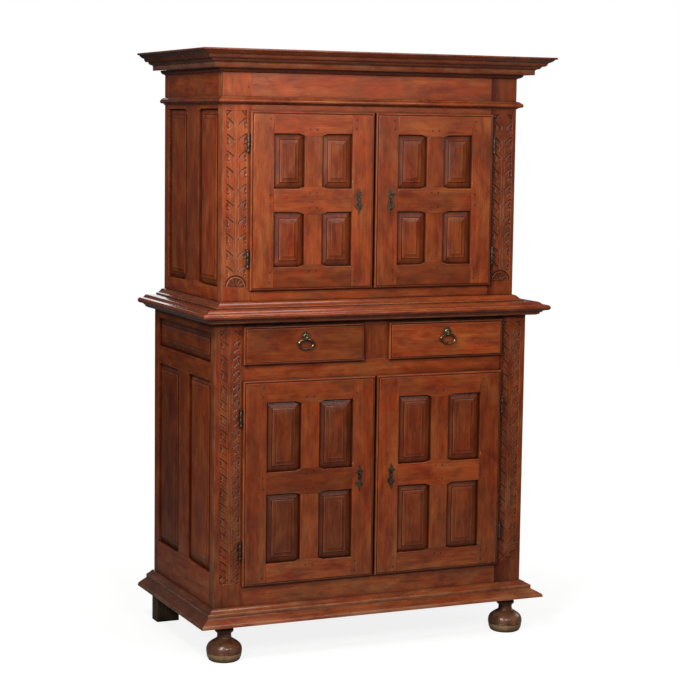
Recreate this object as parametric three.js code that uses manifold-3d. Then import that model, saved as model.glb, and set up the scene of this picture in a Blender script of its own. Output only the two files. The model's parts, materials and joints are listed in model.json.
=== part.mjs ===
import * as THREE from "three";
import { mergeVertices } from "three/addons/utils/BufferGeometryUtils.js";
import Module from "manifold-3d";

// A two-part panelled cupboard: a lower case with two doors under two drawers,
// and a shallower upper case with two doors under a plain frieze and a cornice.
// Millimetres. X runs across the front, the front faces -Y, and the feet stand on Z = 0.

// Cases
const lower_width = 1180;
const lower_depth = 628;
const upper_width = 1108;
const upper_depth = 591;
const post_depth = 43.5;
const upper_post_width = 102;
const lower_post_width = 104;
const front_rail_depth = 30;
const side_thickness = 28;
const back_thickness = 14;
const board_thickness = 20;

// Heights, from the floor up
const foot_height = 130;
const base_board_height = 29;
const base_strip_height = 26;
const lower_bottom_rail_height = 99;
const lower_door_opening_height = 693;
const drawer_rail_height = 65;
const drawer_opening_height = 119;
const lower_top_rail_height = 15;
const waist_height = 50;
const upper_base_height = 21.5;
const upper_bottom_rail_height = 41.5;
const upper_door_opening_height = 590;
const frieze_rail_height = 187;
const cornice_height = 76;

// How far each moulding stands out from its case
const base_reach = 64;
const base_strip_reach = 30.5;
const waist_reach = 65.5;
const upper_base_reach = 31.5;
const frieze_moulding_reach = 18.5;
const frieze_moulding_height = 27;
const frieze_moulding_gap = 26;
const cornice_reach = 104;

// Doors and drawers
const front_proud = 13;
const front_inside = 15;
const front_overlay = 6;
const front_clearance = 3;
const seat_gap = 0.3;
const meeting_gap = 6;
const bead_width = 8;
const bead_round = 4;
const quirk_width = 2;
const field_drop = 1;
const upper_door_stile = 84;
const upper_door_muntin = 65;
const upper_door_top_rail = 74;
const upper_door_mid_rail = 79;
const upper_door_bottom_rail = 79;
const lower_door_stile = 85;
const lower_door_muntin = 67;
const lower_door_top_rail = 76;
const lower_door_mid_rail = 76;
const lower_door_bottom_rail = 75;

// Raised panels, the same section in the doors and the sides
const tongue_length = 6;
const tongue_thickness = 8;
const groove_slack = 0.3;
const panel_setback = 12;
const outer_bevel_width = 22;
const outer_bevel_rise = 5.5;
const panel_step = 2;
const inner_bevel_width = 14;
const inner_bevel_rise = 2.5;
const shoulder_run = 20;
const shoulder_drop = 7;

// Side frames
const upper_side_muntin = 121;
const upper_side_bottom_rail = 46.5;
const upper_side_top_rail = 175;
const lower_side_muntin = 101;
const lower_side_bottom_rail = 141;
const lower_side_panel_height = 656;
const lower_side_mid_rail = 62;
const lower_side_top_rail = 32;

// Hinges: a fixed half with the pin, and a lift-off half on the door
const knuckle_radius = 5;
const knuckle_height = 31;
const knuckle_gap = 0.5;
const hinge_pin_radius = 2.5;
const hinge_bore_radius = 2.8;
const hinge_pin_length = 26;
const hinge_leaf_thickness = 2.4;
const hinge_leaf_height = 28;
const hinge_leaf_depth = 24;
const hinge_offset = 7;
const upper_hinge_inset = 107;
const lower_hinge_inset = 125;

// Locks and their plates
const escutcheon_height = 92;
const escutcheon_width = 27;
const escutcheon_thickness = 1.5;
const escutcheon_inset = 57;
const upper_escutcheon_rise = 254;
const lower_escutcheon_rise = 305;
const keyhole_radius = 4;
const keyhole_slot_width = 5;
const keyhole_drop = 17;
const keyhole_depth = 12;
const pierced_hole_radius = 1.9;
const lock_width = 60;
const lock_height = 78;
const lock_thickness = 14;
const lock_edge_inset = 1;
const bolt_length = 46;
const bolt_height = 16;
const bolt_thickness = 6;

// Drawers
const drawer_divider_width = 106;
const drawer_side_thickness = 12;
const drawer_bottom_thickness = 8;
const drawer_box_height = 100;
const drawer_box_depth = 515;
const drawer_side_clearance = 2;
const guide_width = 20;
const guide_height = 30;

// Drawer pulls
const pull_plate_width = 36;
const pull_plate_height = 38;
const pull_plate_thickness = 1.5;
const pull_plate_rise = 92;
const pull_boss_radius = 8.5;
const pull_boss_thickness = 2.5;
const pull_boss_lift = 9.5;
const pull_boss_dimple_radius = 2.4;
const pull_boss_dimple_depth = 1.5;
const pull_eye_radius = 6.5;
const pull_eye_width = 4;
const pull_eye_reach = 8;
const pull_eye_rise = 84;
const pull_neck_height = 6;
const pull_neck_setback = 3;
const ring_width = 61;
const ring_height = 39;
const ring_tube_radius = 2.8;
const ring_slack = 0.5;

// Shelf and inner boards
const shelf_rise = 318;
const shelf_thickness = 18;
const lower_floor_drop = 8;
const back_board_count = 5;
const back_board_groove = 3;

// Feet
const ball_foot_radius = 61;
const ball_foot_side_inset = 45.5;
const ball_foot_front_inset = 19;
const block_foot_width = 83;
const block_foot_outset = 7;
const block_foot_depth = 60;
const block_foot_chamfer = 3;

// Facets and the overrun that lets one cut clear a face
const foot_sides = 24;
const knuckle_sides = 16;
const piercing_sides = 8;
const ring_steps = 28;
const ring_sides = 10;
const curve_steps = 4;
const overrun = 5;

// Places worked out from the sizes above
const overall_depth = upper_depth + cornice_reach;
const back_y = overall_depth / 2;
const lower_front_y = back_y - lower_depth;
const upper_front_y = back_y - upper_depth;
const lower_case_z = foot_height + base_board_height;
const lower_opening_z = lower_case_z + lower_bottom_rail_height;
const drawer_rail_z = lower_opening_z + lower_door_opening_height;
const drawer_opening_z = drawer_rail_z + drawer_rail_height;
const lower_top_rail_z = drawer_opening_z + drawer_opening_height;
const waist_z = lower_top_rail_z + lower_top_rail_height;
const upper_base_z = waist_z + waist_height;
const upper_case_z = upper_base_z + upper_base_height;
const upper_opening_z = upper_case_z + upper_bottom_rail_height;
const frieze_rail_z = upper_opening_z + upper_door_opening_height;
const upper_case_top_z = frieze_rail_z + frieze_rail_height;
const total_height = upper_case_top_z + board_thickness;
const hinge_setback = front_proud / 2;

// Profiles as shares of a moulding's reach and height: each entry goes to a point,
// and four numbers are a curve by way of the first pair.
const cornice_profile_shares = [
  [0, 1],
  [1, 1],
  [1, 0.915],
  [0.93, 0.9],
  [0.93, 0.88, 0.885, 0.83],
  [0.84, 0.77, 0.775, 0.75],
  [0.76, 0.72],
  [0.735, 0.6, 0.672, 0.585],
  [0.61, 0.585],
  [0.595, 0.49, 0.525, 0.465],
  [0.47, 0.445],
  [0.44, 0.41],
  [0.44, 0.2],
  [0.168, 0.2],
  [0.15, 0.06, 0.03, 0.03],
  [0, 0],
];
const waist_profile_shares = [
  [0, 0],
  [0.42, 0.06],
  [0.55, 0.13],
  [0.575, 0.25],
  [0.65, 0.27],
  [0.66, 0.38, 0.79, 0.4],
  [0.93, 0.44],
  [1.085, 0.62, 0.9, 0.79],
  [0.7, 0.8],
  [0.67, 0.82],
  [0.58, 0.96, 0.49, 1],
  [0, 1],
];
const upper_base_profile_shares = [
  [0, 0],
  [1, 0],
  [1, 0.22],
  [0.93, 0.26],
  [0.62, 0.36, 0.45, 0.72],
  [0.3, 0.95, 0.05, 1],
  [0, 1],
];
const base_profile_shares = [
  [0, 0],
  [1, 0],
  [0.955, 0.36],
  [0.72, 0.68, 0.5, 0.93],
  [0.48, 1],
  [0, 1],
];
const base_strip_profile_shares = [
  [0, 0],
  [1, 0],
  [1, 0.44],
  [0.92, 0.5],
  [0.6, 0.62, 0.45, 0.8],
  [0.3, 0.97, 0.04, 1],
  [0, 1],
];
const frieze_profile_shares = [
  [0, 0],
  [0.1, 0],
  [0.2, 0.1],
  [0.55, 0.2],
  [1.05, 0.2, 1, 0.5],
  [0.98, 0.7, 0.62, 0.8],
  [0.5, 0.9],
  [0.1, 1],
  [0, 1],
];
// The turned foot: shares of its largest radius and of the foot's height.
const ball_foot_profile_shares = [
  [0, 0],
  [0.77, 0],
  [0.87, 0.03],
  [0.95, 0.11],
  [0.985, 0.205],
  [0.965, 0.213],
  [0.99, 0.221],
  [1, 0.25],
  [0.98, 0.258],
  [1, 0.266],
  [1.01, 0.41, 0.8, 0.48],
  [0.66, 0.53, 0.5, 0.57],
  [0.42, 0.6],
  [0.38, 0.65, 0.4, 0.72],
  [0.44, 0.75],
  [0.52, 0.76, 0.53, 0.8],
  [0.52, 0.85, 0.44, 0.86],
  [0.4, 0.9, 0.42, 0.95],
  [0.56, 0.96],
  [0.56, 1],
  [0, 1],
];
// Half of the lock plate's outline, from its lower tip to its upper tip.
const escutcheon_outline_shares = [
  [0, 0],
  [0.12, 0.05],
  [0.14, 0.15, 0.6, 0.21],
  [0.95, 0.25, 1, 0.34],
  [0.9, 0.4, 0.56, 0.41],
  [0.5, 0.5, 0.54, 0.6],
  [0.56, 0.68, 0.86, 0.72],
  [0.78, 0.8, 0.42, 0.84],
  [0.3, 0.92, 0, 1],
];
// Where the plate is pierced, beside its middle and up from its lower tip.
const escutcheon_piercing_shares = [
  [-0.46, 0.31],
  [0.46, 0.31],
  [-0.4, 0.73],
  [0.4, 0.73],
];
// The pull plate's outline: half of it, from its foot to its crest.
const pull_plate_outline_shares = [
  [0, 0],
  [0.3, 0.05],
  [0.5, 0.2, 0.42, 0.36],
  [0.9, 0.4, 1, 0.56],
  [0.9, 0.72, 0.62, 0.7],
  [0.66, 0.86, 0.36, 0.88],
  [0.2, 0.98, 0, 1],
];

// Finishes
const case_wood = new THREE.MeshStandardMaterial({ color: 0x7e3f22, roughness: 0.42, metalness: 0 });
const front_wood = new THREE.MeshStandardMaterial({ color: 0x8a4526, roughness: 0.38, metalness: 0 });
const panel_wood = new THREE.MeshStandardMaterial({ color: 0x7d3d21, roughness: 0.4, metalness: 0 });
const inner_wood = new THREE.MeshStandardMaterial({ color: 0x6b4a2f, roughness: 0.7, metalness: 0 });
const foot_wood = new THREE.MeshStandardMaterial({ color: 0x4c2616, roughness: 0.4, metalness: 0 });
const old_brass = new THREE.MeshStandardMaterial({ color: 0x8c7a55, roughness: 0.35, metalness: 1 });
const old_iron = new THREE.MeshStandardMaterial({ color: 0x3a332d, roughness: 0.5, metalness: 1 });

const wasm = await Module();
wasm.setup();

// A closed three.js geometry as a solid that can be joined and cut.
function solid(geometry) {
  const bare = geometry.clone();
  bare.deleteAttribute("normal");
  bare.deleteAttribute("uv");
  const merged = mergeVertices(bare);
  return new wasm.Manifold(
    new wasm.Mesh({
      numProp: 3,
      vertProperties: merged.attributes.position.array,
      triVerts: new Uint32Array(merged.index.array),
    }),
  );
}

// The solid back as a three.js geometry.
function geometryOf(body) {
  const mesh = body.getMesh();
  const geometry = new THREE.BufferGeometry();
  const places = new Float32Array(mesh.numVert * 3);
  for (let i = 0; i < mesh.numVert; i++) {
    places.set(mesh.vertProperties.subarray(i * mesh.numProp, i * mesh.numProp + 3), i * 3);
  }
  geometry.setAttribute("position", new THREE.BufferAttribute(places, 3));
  geometry.setIndex(new THREE.BufferAttribute(mesh.triVerts, 1));
  const flat = geometry.toNonIndexed();
  flat.computeVertexNormals();
  return flat;
}

function block(x0, x1, y0, y1, z0, z1) {
  const geometry = new THREE.BoxGeometry(x1 - x0, y1 - y0, z1 - z0);
  geometry.translate((x0 + x1) / 2, (y0 + y1) / 2, (z0 + z1) / 2);
  return solid(geometry);
}

function joined(bodies) {
  return bodies.reduce((whole, body) => whole.add(body));
}

function cut(body, tools) {
  return tools.reduce((whole, tool) => whole.subtract(tool), body);
}

// Points of an outline given in shares: [x, z] is a line, [cx, cz, x, z] a curve.
function outline(shares, width, height) {
  const path = new THREE.Path();
  path.moveTo(shares[0][0] * width, shares[0][1] * height);
  for (const step of shares.slice(1)) {
    if (step.length === 2) {
      path.lineTo(step[0] * width, step[1] * height);
    } else {
      path.quadraticCurveTo(step[0] * width, step[1] * height, step[2] * width, step[3] * height);
    }
  }
  return path.curves.flatMap((curve, i) => {
    const steps = curve.isLineCurve ? 1 : curve_steps;
    const points = curve.getPoints(steps);
    return i === 0 ? points : points.slice(1);
  });
}

// A half outline, from its foot to its crest, with its mirror image, round a place in X and Z.
function bothHalves(half, x, z) {
  const mirrored = half.slice(1, -1).reverse().map((p) => new THREE.Vector2(-p.x, p.y));
  return [...half, ...mirrored].map((p) => new THREE.Vector2(x + p.x, z + p.y));
}

// A prism of an outline in X and Z, from y0 back to y1.
function prism(points, y0, y1) {
  const shape = new THREE.Shape(points);
  const geometry = new THREE.ExtrudeGeometry(shape, { depth: y1 - y0, bevelEnabled: false });
  geometry.rotateX(Math.PI / 2);
  geometry.translate(0, y1, 0);
  return solid(geometry);
}

// Closed rings of equal length, joined in order, with both ends capped.
function loft(rings, closed_path) {
  const count = rings[0].length;
  const places = rings.flat().flatMap((p) => [p.x, p.y, p.z]);
  const faces = [];
  for (let r = 0; r + 1 < rings.length; r++) {
    for (let i = 0; i < count; i++) {
      const j = (i + 1) % count;
      const a = r * count + i;
      const b = r * count + j;
      const c = (r + 1) * count + j;
      const d = (r + 1) * count + i;
      faces.push(a, b, c, a, c, d);
    }
  }
  const last = (rings.length - 1) * count;
  const clockwise = THREE.ShapeUtils.isClockWise(closed_path);
  for (const [i, second, third] of THREE.ShapeUtils.triangulateShape(closed_path, [])) {
    const j = clockwise ? third : second;
    const k = clockwise ? second : third;
    faces.push(i, k, j);
    faces.push(last + i, last + j, last + k);
  }
  const geometry = new THREE.BufferGeometry();
  geometry.setAttribute("position", new THREE.Float32BufferAttribute(places, 3));
  geometry.setIndex(faces);
  const body = solid(geometry);
  return body.volume() < 0 ? solid(turnedInsideOut(geometry)) : body;
}

function turnedInsideOut(geometry) {
  const turned = geometry.clone();
  const index = turned.index.array;
  for (let i = 0; i < index.length; i += 3) {
    const first = index[i];
    index[i] = index[i + 1];
    index[i + 1] = first;
  }
  return turned;
}

// A moulding mitred round the front and both sides of a case, its profile grown outwards
// from the case's faces and inwards by `inset`.
function mitredMoulding(shares, reach, height, half_width, front_y, z, inset) {
  const profile = outline(shares, reach, height);
  const inner = [profile[0], profile[profile.length - 1]].map((p) => new THREE.Vector2(-inset, p.y));
  const section = inset > 0 ? [inner[0], ...profile, inner[1]] : profile;
  const corners = [
    (o) => [-half_width - o, back_y],
    (o) => [-half_width - o, front_y - o],
    (o) => [half_width + o, front_y - o],
    (o) => [half_width + o, back_y],
  ];
  const rings = corners.map((corner) =>
    section.map((p) => new THREE.Vector3(...corner(p.x), z + p.y)),
  );
  return loft(rings, section);
}

// A plate whose front edge is worked: nested rectangles at [inset, setback] pairs.
function steppedPlate(x0, x1, z0, z1, front_y, levels) {
  const rings = levels.map(([inset, setback]) => [
    new THREE.Vector3(x0 + inset, front_y + setback, z0 + inset),
    new THREE.Vector3(x1 - inset, front_y + setback, z0 + inset),
    new THREE.Vector3(x1 - inset, front_y + setback, z1 - inset),
    new THREE.Vector3(x0 + inset, front_y + setback, z1 - inset),
  ]);
  const square = rings[0].map((p) => new THREE.Vector2(p.x, p.z));
  return loft(rings, square);
}

// The moulded lip of a door or drawer front: a bead, a quirk and the flat field.
function lippedPlate(x0, x1, z0, z1, front_y) {
  const low = front_proud - seat_gap;
  return steppedPlate(x0, x1, z0, z1, front_y, [
    [0, low],
    [0, bead_round + field_drop],
    [bead_round / 3, field_drop + bead_round / 3],
    [bead_width / 2, field_drop],
    [bead_width - bead_round / 3, field_drop + bead_round / 3],
    [bead_width, field_drop + bead_round / 2],
    [bead_width + quirk_width, field_drop + bead_round / 2],
    [bead_width + quirk_width, 0],
  ]);
}

// A raised and fielded panel that fills an opening and runs into its frame by `tongue`.
function raisedPanel(opening, face_y, tongue) {
  const step_inset = tongue + outer_bevel_width;
  const field_inset = step_inset + inner_bevel_width;
  const bevel_top = panel_setback - outer_bevel_rise;
  const field_edge = bevel_top - panel_step;
  return steppedPlate(
    opening.x0 - tongue,
    opening.x1 + tongue,
    opening.z0 - tongue,
    opening.z1 + tongue,
    face_y,
    [
      [0, panel_setback + tongue_thickness],
      [0, panel_setback],
      [tongue, panel_setback],
      [step_inset, bevel_top],
      [step_inset, field_edge],
      [field_inset, field_edge - inner_bevel_rise],
    ],
  );
}

// A door's loose panel: relieved where the frame's slanted shoulders stand in front of it.
function loosePanel(opening, face_y) {
  const { x0, x1, z0, z1, muntin } = opening;
  const slant = Math.hypot(shoulder_run, shoulder_drop);
  const growth_share = 1 + (groove_slack * slant) / (shoulder_run * shoulder_drop);
  const run = shoulder_run * growth_share * -muntin;
  const drop = shoulder_drop * growth_share;
  const x = muntin > 0 ? x1 : x0;
  const corners = [
    [[x, z0], [x + run, z0], [x, z0 + drop]],
    [[x, z1], [x + run, z1], [x, z1 - drop]],
  ];
  const reliefs = corners.map((corner) => {
    const points = corner.map(([px, pz]) => new THREE.Vector2(px, pz));
    return prism(points, face_y - overrun, face_y + panel_setback);
  });
  return cut(raisedPanel(opening, face_y, tongue_length), reliefs);
}

// An opening in a frame: a rectangle whose corners next to the muntin are cut on a slant.
function openingCutter(opening, y0, y1) {
  const { x0, x1, z0, z1, muntin } = opening;
  const run = shoulder_run;
  const drop = shoulder_drop;
  const left = muntin < 0;
  const right = muntin > 0;
  const points = [
    ...(left ? [[x0, z0 + drop], [x0 + run, z0]] : [[x0, z0]]),
    ...(right ? [[x1 - run, z0], [x1, z0 + drop]] : [[x1, z0]]),
    ...(right ? [[x1, z1 - drop], [x1 - run, z1]] : [[x1, z1]]),
    ...(left ? [[x0 + run, z1], [x0, z1 - drop]] : [[x0, z1]]),
  ];
  return prism(points.map(([x, z]) => new THREE.Vector2(x, z)), y0, y1);
}

// The groove round an opening, wide enough for the panel's tongue.
function grooveCutter(opening, face_y) {
  const reach = tongue_length + groove_slack;
  const near = face_y + panel_setback - groove_slack;
  return block(
    opening.x0 - reach,
    opening.x1 + reach,
    near,
    near + tongue_thickness + groove_slack * 2,
    opening.z0 - reach,
    opening.z1 + reach,
  );
}

// A row of openings between stiles, with muntins between them.
function openingRow(x0, x1, stile, muntin, z0, z1, names) {
  const count = names.length;
  const width = (x1 - x0 - stile * 2 - muntin * (count - 1)) / count;
  return names.map((name, i) => {
    const start = x0 + stile + i * (width + muntin);
    const side = count === 1 ? 0 : i === 0 ? 1 : -1;
    return { name, x0: start, x1: start + width, z0, z1, muntin: side };
  });
}

function cylinder(radius, x, y, z0, z1, sides) {
  const geometry = new THREE.CylinderGeometry(radius, radius, z1 - z0, sides);
  geometry.rotateX(Math.PI / 2);
  geometry.translate(x, y, (z0 + z1) / 2);
  return solid(geometry);
}

// The four-panel doors.
const door_sets = {
  upper: {
    front_y: upper_front_y,
    half_opening: upper_width / 2 - upper_post_width,
    z0: upper_opening_z - front_overlay,
    z1: frieze_rail_z + front_overlay,
    stile: upper_door_stile,
    muntin: upper_door_muntin,
    rails: [upper_door_bottom_rail, upper_door_mid_rail, upper_door_top_rail],
    hinge_inset: upper_hinge_inset,
    escutcheon_rise: upper_escutcheon_rise,
  },
  lower: {
    front_y: lower_front_y,
    half_opening: lower_width / 2 - lower_post_width,
    z0: lower_opening_z - front_overlay,
    z1: drawer_rail_z + front_overlay,
    stile: lower_door_stile,
    muntin: lower_door_muntin,
    rails: [lower_door_bottom_rail, lower_door_mid_rail, lower_door_top_rail],
    hinge_inset: lower_hinge_inset,
    escutcheon_rise: lower_escutcheon_rise,
  },
};

function doorPlaces(set, side) {
  const outer = set.half_opening + front_overlay;
  const inner = meeting_gap / 2;
  const x0 = side < 0 ? -outer : inner;
  const x1 = side < 0 ? -inner : outer;
  const height = set.z1 - set.z0;
  const [bottom, mid, top] = set.rails;
  const opening_height = (height - bottom - mid - top) / 2;
  const rows = [
    ["bottom", set.z0 + bottom],
    ["top", set.z0 + bottom + opening_height + mid],
  ];
  const openings = rows.flatMap(([row, z]) =>
    openingRow(x0, x1, set.stile, set.muntin, z, z + opening_height, [row + "_left", row + "_right"]),
  );
  const hinge_heights = { bottom: set.z0 + set.hinge_inset, top: set.z1 - set.hinge_inset };
  return {
    x0,
    x1,
    openings,
    hinge_heights,
    face_y: set.front_y - front_proud,
    axis_x: side * (outer + hinge_offset),
    axis_y: set.front_y - hinge_setback,
    escutcheon_x: side * (inner + escutcheon_inset),
    escutcheon_z: set.z0 + set.escutcheon_rise,
  };
}

// The half of a hinge that is let into the door's edge: bored knuckle and leaf.
function doorHingeHalf(place, side, z) {
  const edge_x = side < 0 ? place.x0 : place.x1;
  const into_door = edge_x - side * hinge_leaf_depth / 2;
  const low = Math.min(place.axis_x, into_door);
  const high = Math.max(place.axis_x, into_door);
  const foot = z + knuckle_gap / 2;
  const leaf_foot = foot + (knuckle_height - hinge_leaf_height) / 2;
  const half_leaf = hinge_leaf_thickness / 2;
  const leaf = block(
    low,
    high,
    place.axis_y - half_leaf,
    place.axis_y + half_leaf,
    leaf_foot,
    leaf_foot + hinge_leaf_height,
  );
  const { axis_x: x, axis_y: y } = place;
  const knuckle = cylinder(knuckle_radius, x, y, foot, foot + knuckle_height, knuckle_sides);
  const bore_top = z + hinge_pin_length + knuckle_gap;
  const bore = cylinder(hinge_bore_radius, x, y, foot - overrun, bore_top, knuckle_sides);
  return cut(joined([knuckle, leaf]), [bore]);
}

// The fixed half: knuckle, pin and the leaf driven into the post.
function caseHingeHalf(place, set, z) {
  const top = z - knuckle_gap / 2;
  const foot = top - knuckle_height;
  const leaf_foot = foot + (knuckle_height - hinge_leaf_height) / 2;
  const half_leaf = hinge_leaf_thickness / 2;
  const knuckle = cylinder(knuckle_radius, place.axis_x, place.axis_y, foot, top, knuckle_sides);
  const pin = cylinder(
    hinge_pin_radius,
    place.axis_x,
    place.axis_y,
    foot + knuckle_height / 2,
    z + hinge_pin_length,
    knuckle_sides,
  );
  const leaf = block(
    place.axis_x - half_leaf,
    place.axis_x + half_leaf,
    place.axis_y,
    set.front_y + hinge_leaf_depth,
    leaf_foot,
    leaf_foot + hinge_leaf_height,
  );
  return joined([knuckle, pin, leaf]);
}

// The slot in a post that takes the fixed half's leaf.
function leafSlot(place, set, z) {
  const slack = groove_slack;
  const top = z - knuckle_gap / 2;
  const leaf_foot = top - knuckle_height + (knuckle_height - hinge_leaf_height) / 2;
  const half = hinge_leaf_thickness / 2 + slack;
  return block(
    place.axis_x - half,
    place.axis_x + half,
    set.front_y - overrun,
    set.front_y + hinge_leaf_depth + slack,
    leaf_foot - slack,
    leaf_foot + hinge_leaf_height + slack,
  );
}

function pinHole(radius, x, z, y0, y1, sides) {
  const geometry = new THREE.CylinderGeometry(radius, radius, y1 - y0, sides);
  geometry.translate(x, (y0 + y1) / 2, z);
  return solid(geometry);
}

// A keyhole round the middle of its plate: a round head over a slot.
function keyholeCutter(place, y0, y1) {
  const x = place.escutcheon_x;
  const z = place.escutcheon_z + (escutcheon_height + keyhole_drop) / 2;
  const half = keyhole_slot_width / 2;
  const slot = block(x - half, x + half, y0, y1, z - keyhole_drop, z);
  return pinHole(keyhole_radius, x, z, y0, y1, knuckle_sides).add(slot);
}

// The rim lock's place on the back of a right-hand door, and its bolt's.
function lockPlaces(place, set) {
  const back = set.front_y + front_inside;
  const x0 = place.x0 + lock_edge_inset;
  const z_mid = place.escutcheon_z + escutcheon_height / 2;
  const bolt_y = back + (lock_thickness - bolt_thickness) / 2;
  return { back, x0, z_mid, bolt_y };
}

function lockCase(place, set) {
  const at = lockPlaces(place, set);
  const body = block(
    at.x0,
    at.x0 + lock_width,
    at.back,
    at.back + lock_thickness,
    at.z_mid - lock_height / 2,
    at.z_mid + lock_height / 2,
  );
  const slot = block(
    at.x0 - overrun,
    at.x0 + bolt_length + seat_gap,
    at.bolt_y - groove_slack,
    at.bolt_y + bolt_thickness + groove_slack,
    at.z_mid - bolt_height / 2 - groove_slack,
    at.z_mid + bolt_height / 2 + groove_slack,
  );
  return { body, slot };
}

function lockBolt(place, set) {
  const at = lockPlaces(place, set);
  return block(
    at.x0,
    at.x0 + bolt_length,
    at.bolt_y,
    at.bolt_y + bolt_thickness,
    at.z_mid - bolt_height / 2,
    at.z_mid + bolt_height / 2,
  );
}

// Stiles, rails and muntins of one door, grooved for its panels.
function doorFrame(set, side) {
  const place = doorPlaces(set, side);
  const back_y0 = set.front_y + front_inside;
  const edge = front_overlay + front_clearance;
  const lip = lippedPlate(place.x0, place.x1, set.z0, set.z1, place.face_y);
  const inner = block(
    place.x0 + (side < 0 ? edge : 0),
    place.x1 - (side < 0 ? 0 : edge),
    set.front_y - front_proud / 2,
    back_y0,
    set.z0 + edge,
    set.z1 - edge,
  );
  const through = place.openings.map((o) => openingCutter(o, place.face_y - overrun, back_y0 + overrun));
  const grooves = place.openings.map((o) => grooveCutter(o, place.face_y));
  const hinges = Object.values(place.hinge_heights).map((z) => doorHingeHalf(place, side, z));
  const framed = cut(joined([lip, inner]), [...through, ...grooves]);
  const hung = joined([framed, ...hinges]);
  if (side < 0) {
    return hung;
  }
  const keyhole = keyholeCutter(place, place.face_y - overrun, place.face_y + keyhole_depth);
  const lock = lockCase(place, set);
  return cut(hung.add(lock.body), [lock.slot, keyhole]);
}

// The pierced plate on a door's inner stile. Only the right-hand doors have a lock, so the
// plates on the left-hand doors are blind.
function escutcheon(set, side) {
  const place = doorPlaces(set, side);
  const half_width = escutcheon_width / 2;
  const half = outline(escutcheon_outline_shares, half_width, escutcheon_height);
  const plate_points = bothHalves(half, place.escutcheon_x, place.escutcheon_z);
  const near = place.face_y - escutcheon_thickness;
  const plate = prism(plate_points, near, place.face_y);
  const holes = escutcheon_piercing_shares.map(([across, up]) =>
    pinHole(
      pierced_hole_radius,
      place.escutcheon_x + half_width * across,
      place.escutcheon_z + escutcheon_height * up,
      near - overrun,
      place.face_y + overrun,
      piercing_sides,
    ),
  );
  const keyholes = side > 0 ? [keyholeCutter(place, near - overrun, place.face_y + overrun)] : [];
  return cut(plate, [...holes, ...keyholes]);
}

// The front of each case: posts and rails joined in one plane.
function upperFrontFrame() {
  const half = upper_width / 2;
  const inner = half - upper_post_width;
  const set = door_sets.upper;
  const rail_y = upper_front_y + front_rail_depth;
  const posts = [-1, 1].map((side) =>
    block(
      Math.min(side * half, side * inner),
      Math.max(side * half, side * inner),
      upper_front_y,
      upper_front_y + post_depth,
      upper_case_z,
      upper_case_top_z,
    ),
  );
  const rails = [
    block(-inner, inner, upper_front_y, rail_y, upper_case_z, upper_opening_z),
    block(-inner, inner, upper_front_y, rail_y, frieze_rail_z, upper_case_top_z),
  ];
  const slots = [-1, 1].flatMap((side) => {
    const place = doorPlaces(set, side);
    return Object.values(place.hinge_heights).map((z) => leafSlot(place, set, z));
  });
  return cut(joined([...posts, ...rails]), slots);
}

function lowerFrontFrame() {
  const half = lower_width / 2;
  const inner = half - lower_post_width;
  const set = door_sets.lower;
  const rail_y = lower_front_y + front_rail_depth;
  const posts = [-1, 1].map((side) =>
    block(
      Math.min(side * half, side * inner),
      Math.max(side * half, side * inner),
      lower_front_y,
      lower_front_y + post_depth,
      lower_case_z,
      waist_z,
    ),
  );
  const rails = [
    block(-inner, inner, lower_front_y, rail_y, lower_case_z, lower_opening_z),
    block(-inner, inner, lower_front_y, rail_y, drawer_rail_z, drawer_opening_z),
    block(-inner, inner, lower_front_y, rail_y, lower_top_rail_z, waist_z),
  ];
  const half_divider = drawer_divider_width / 2;
  const divider = block(
    -half_divider,
    half_divider,
    lower_front_y,
    rail_y,
    drawer_opening_z,
    lower_top_rail_z,
  );
  const slots = [-1, 1].flatMap((side) => {
    const place = doorPlaces(set, side);
    return Object.values(place.hinge_heights).map((z) => leafSlot(place, set, z));
  });
  return cut(joined([...posts, ...rails, divider]), slots);
}

// A side of a case, modelled in the plane of the front and then turned. The case's whole
// depth is its X, one end of which is the front post, as deep as the stile at the other end.
function sideFrame(side, depth, z0, z1, rows) {
  const start = side > 0 ? post_depth : 0;
  const slab = block(start, start + depth - post_depth, 0, side_thickness, z0, z1);
  const openings = rows.flatMap((row) =>
    openingRow(0, depth, post_depth, row.muntin, row.z0, row.z1, row.names),
  );
  const through = openings.map((o) => openingCutter(o, -overrun, side_thickness + overrun));
  const panels = openings.map((o) => raisedPanel(o, 0, 0));
  return joined([cut(slab, through), ...panels]);
}

function turnedSide(body, side, half_width, front_y) {
  const geometry = geometryOf(body);
  geometry.rotateZ((side * Math.PI) / 2);
  geometry.translate(side * half_width, side > 0 ? front_y : back_y, 0);
  return geometry;
}

function upperSide(side) {
  const z0 = upper_case_z + upper_side_bottom_rail;
  const z1 = upper_case_top_z - upper_side_top_rail;
  const rows = [{ muntin: upper_side_muntin, z0, z1, names: ["front", "back"] }];
  const body = sideFrame(side, upper_depth, upper_case_z, upper_case_top_z, rows);
  return turnedSide(body, side, upper_width / 2, upper_front_y);
}

function lowerSide(side) {
  const z0 = lower_case_z + lower_side_bottom_rail;
  const z1 = z0 + lower_side_panel_height;
  const rows = [
    { muntin: lower_side_muntin, z0, z1, names: ["front", "back"] },
    { muntin: 0, z0: z1 + lower_side_mid_rail, z1: waist_z - lower_side_top_rail, names: ["top"] },
  ];
  const body = sideFrame(side, lower_depth, lower_case_z, waist_z, rows);
  return turnedSide(body, side, lower_width / 2, lower_front_y);
}

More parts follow.
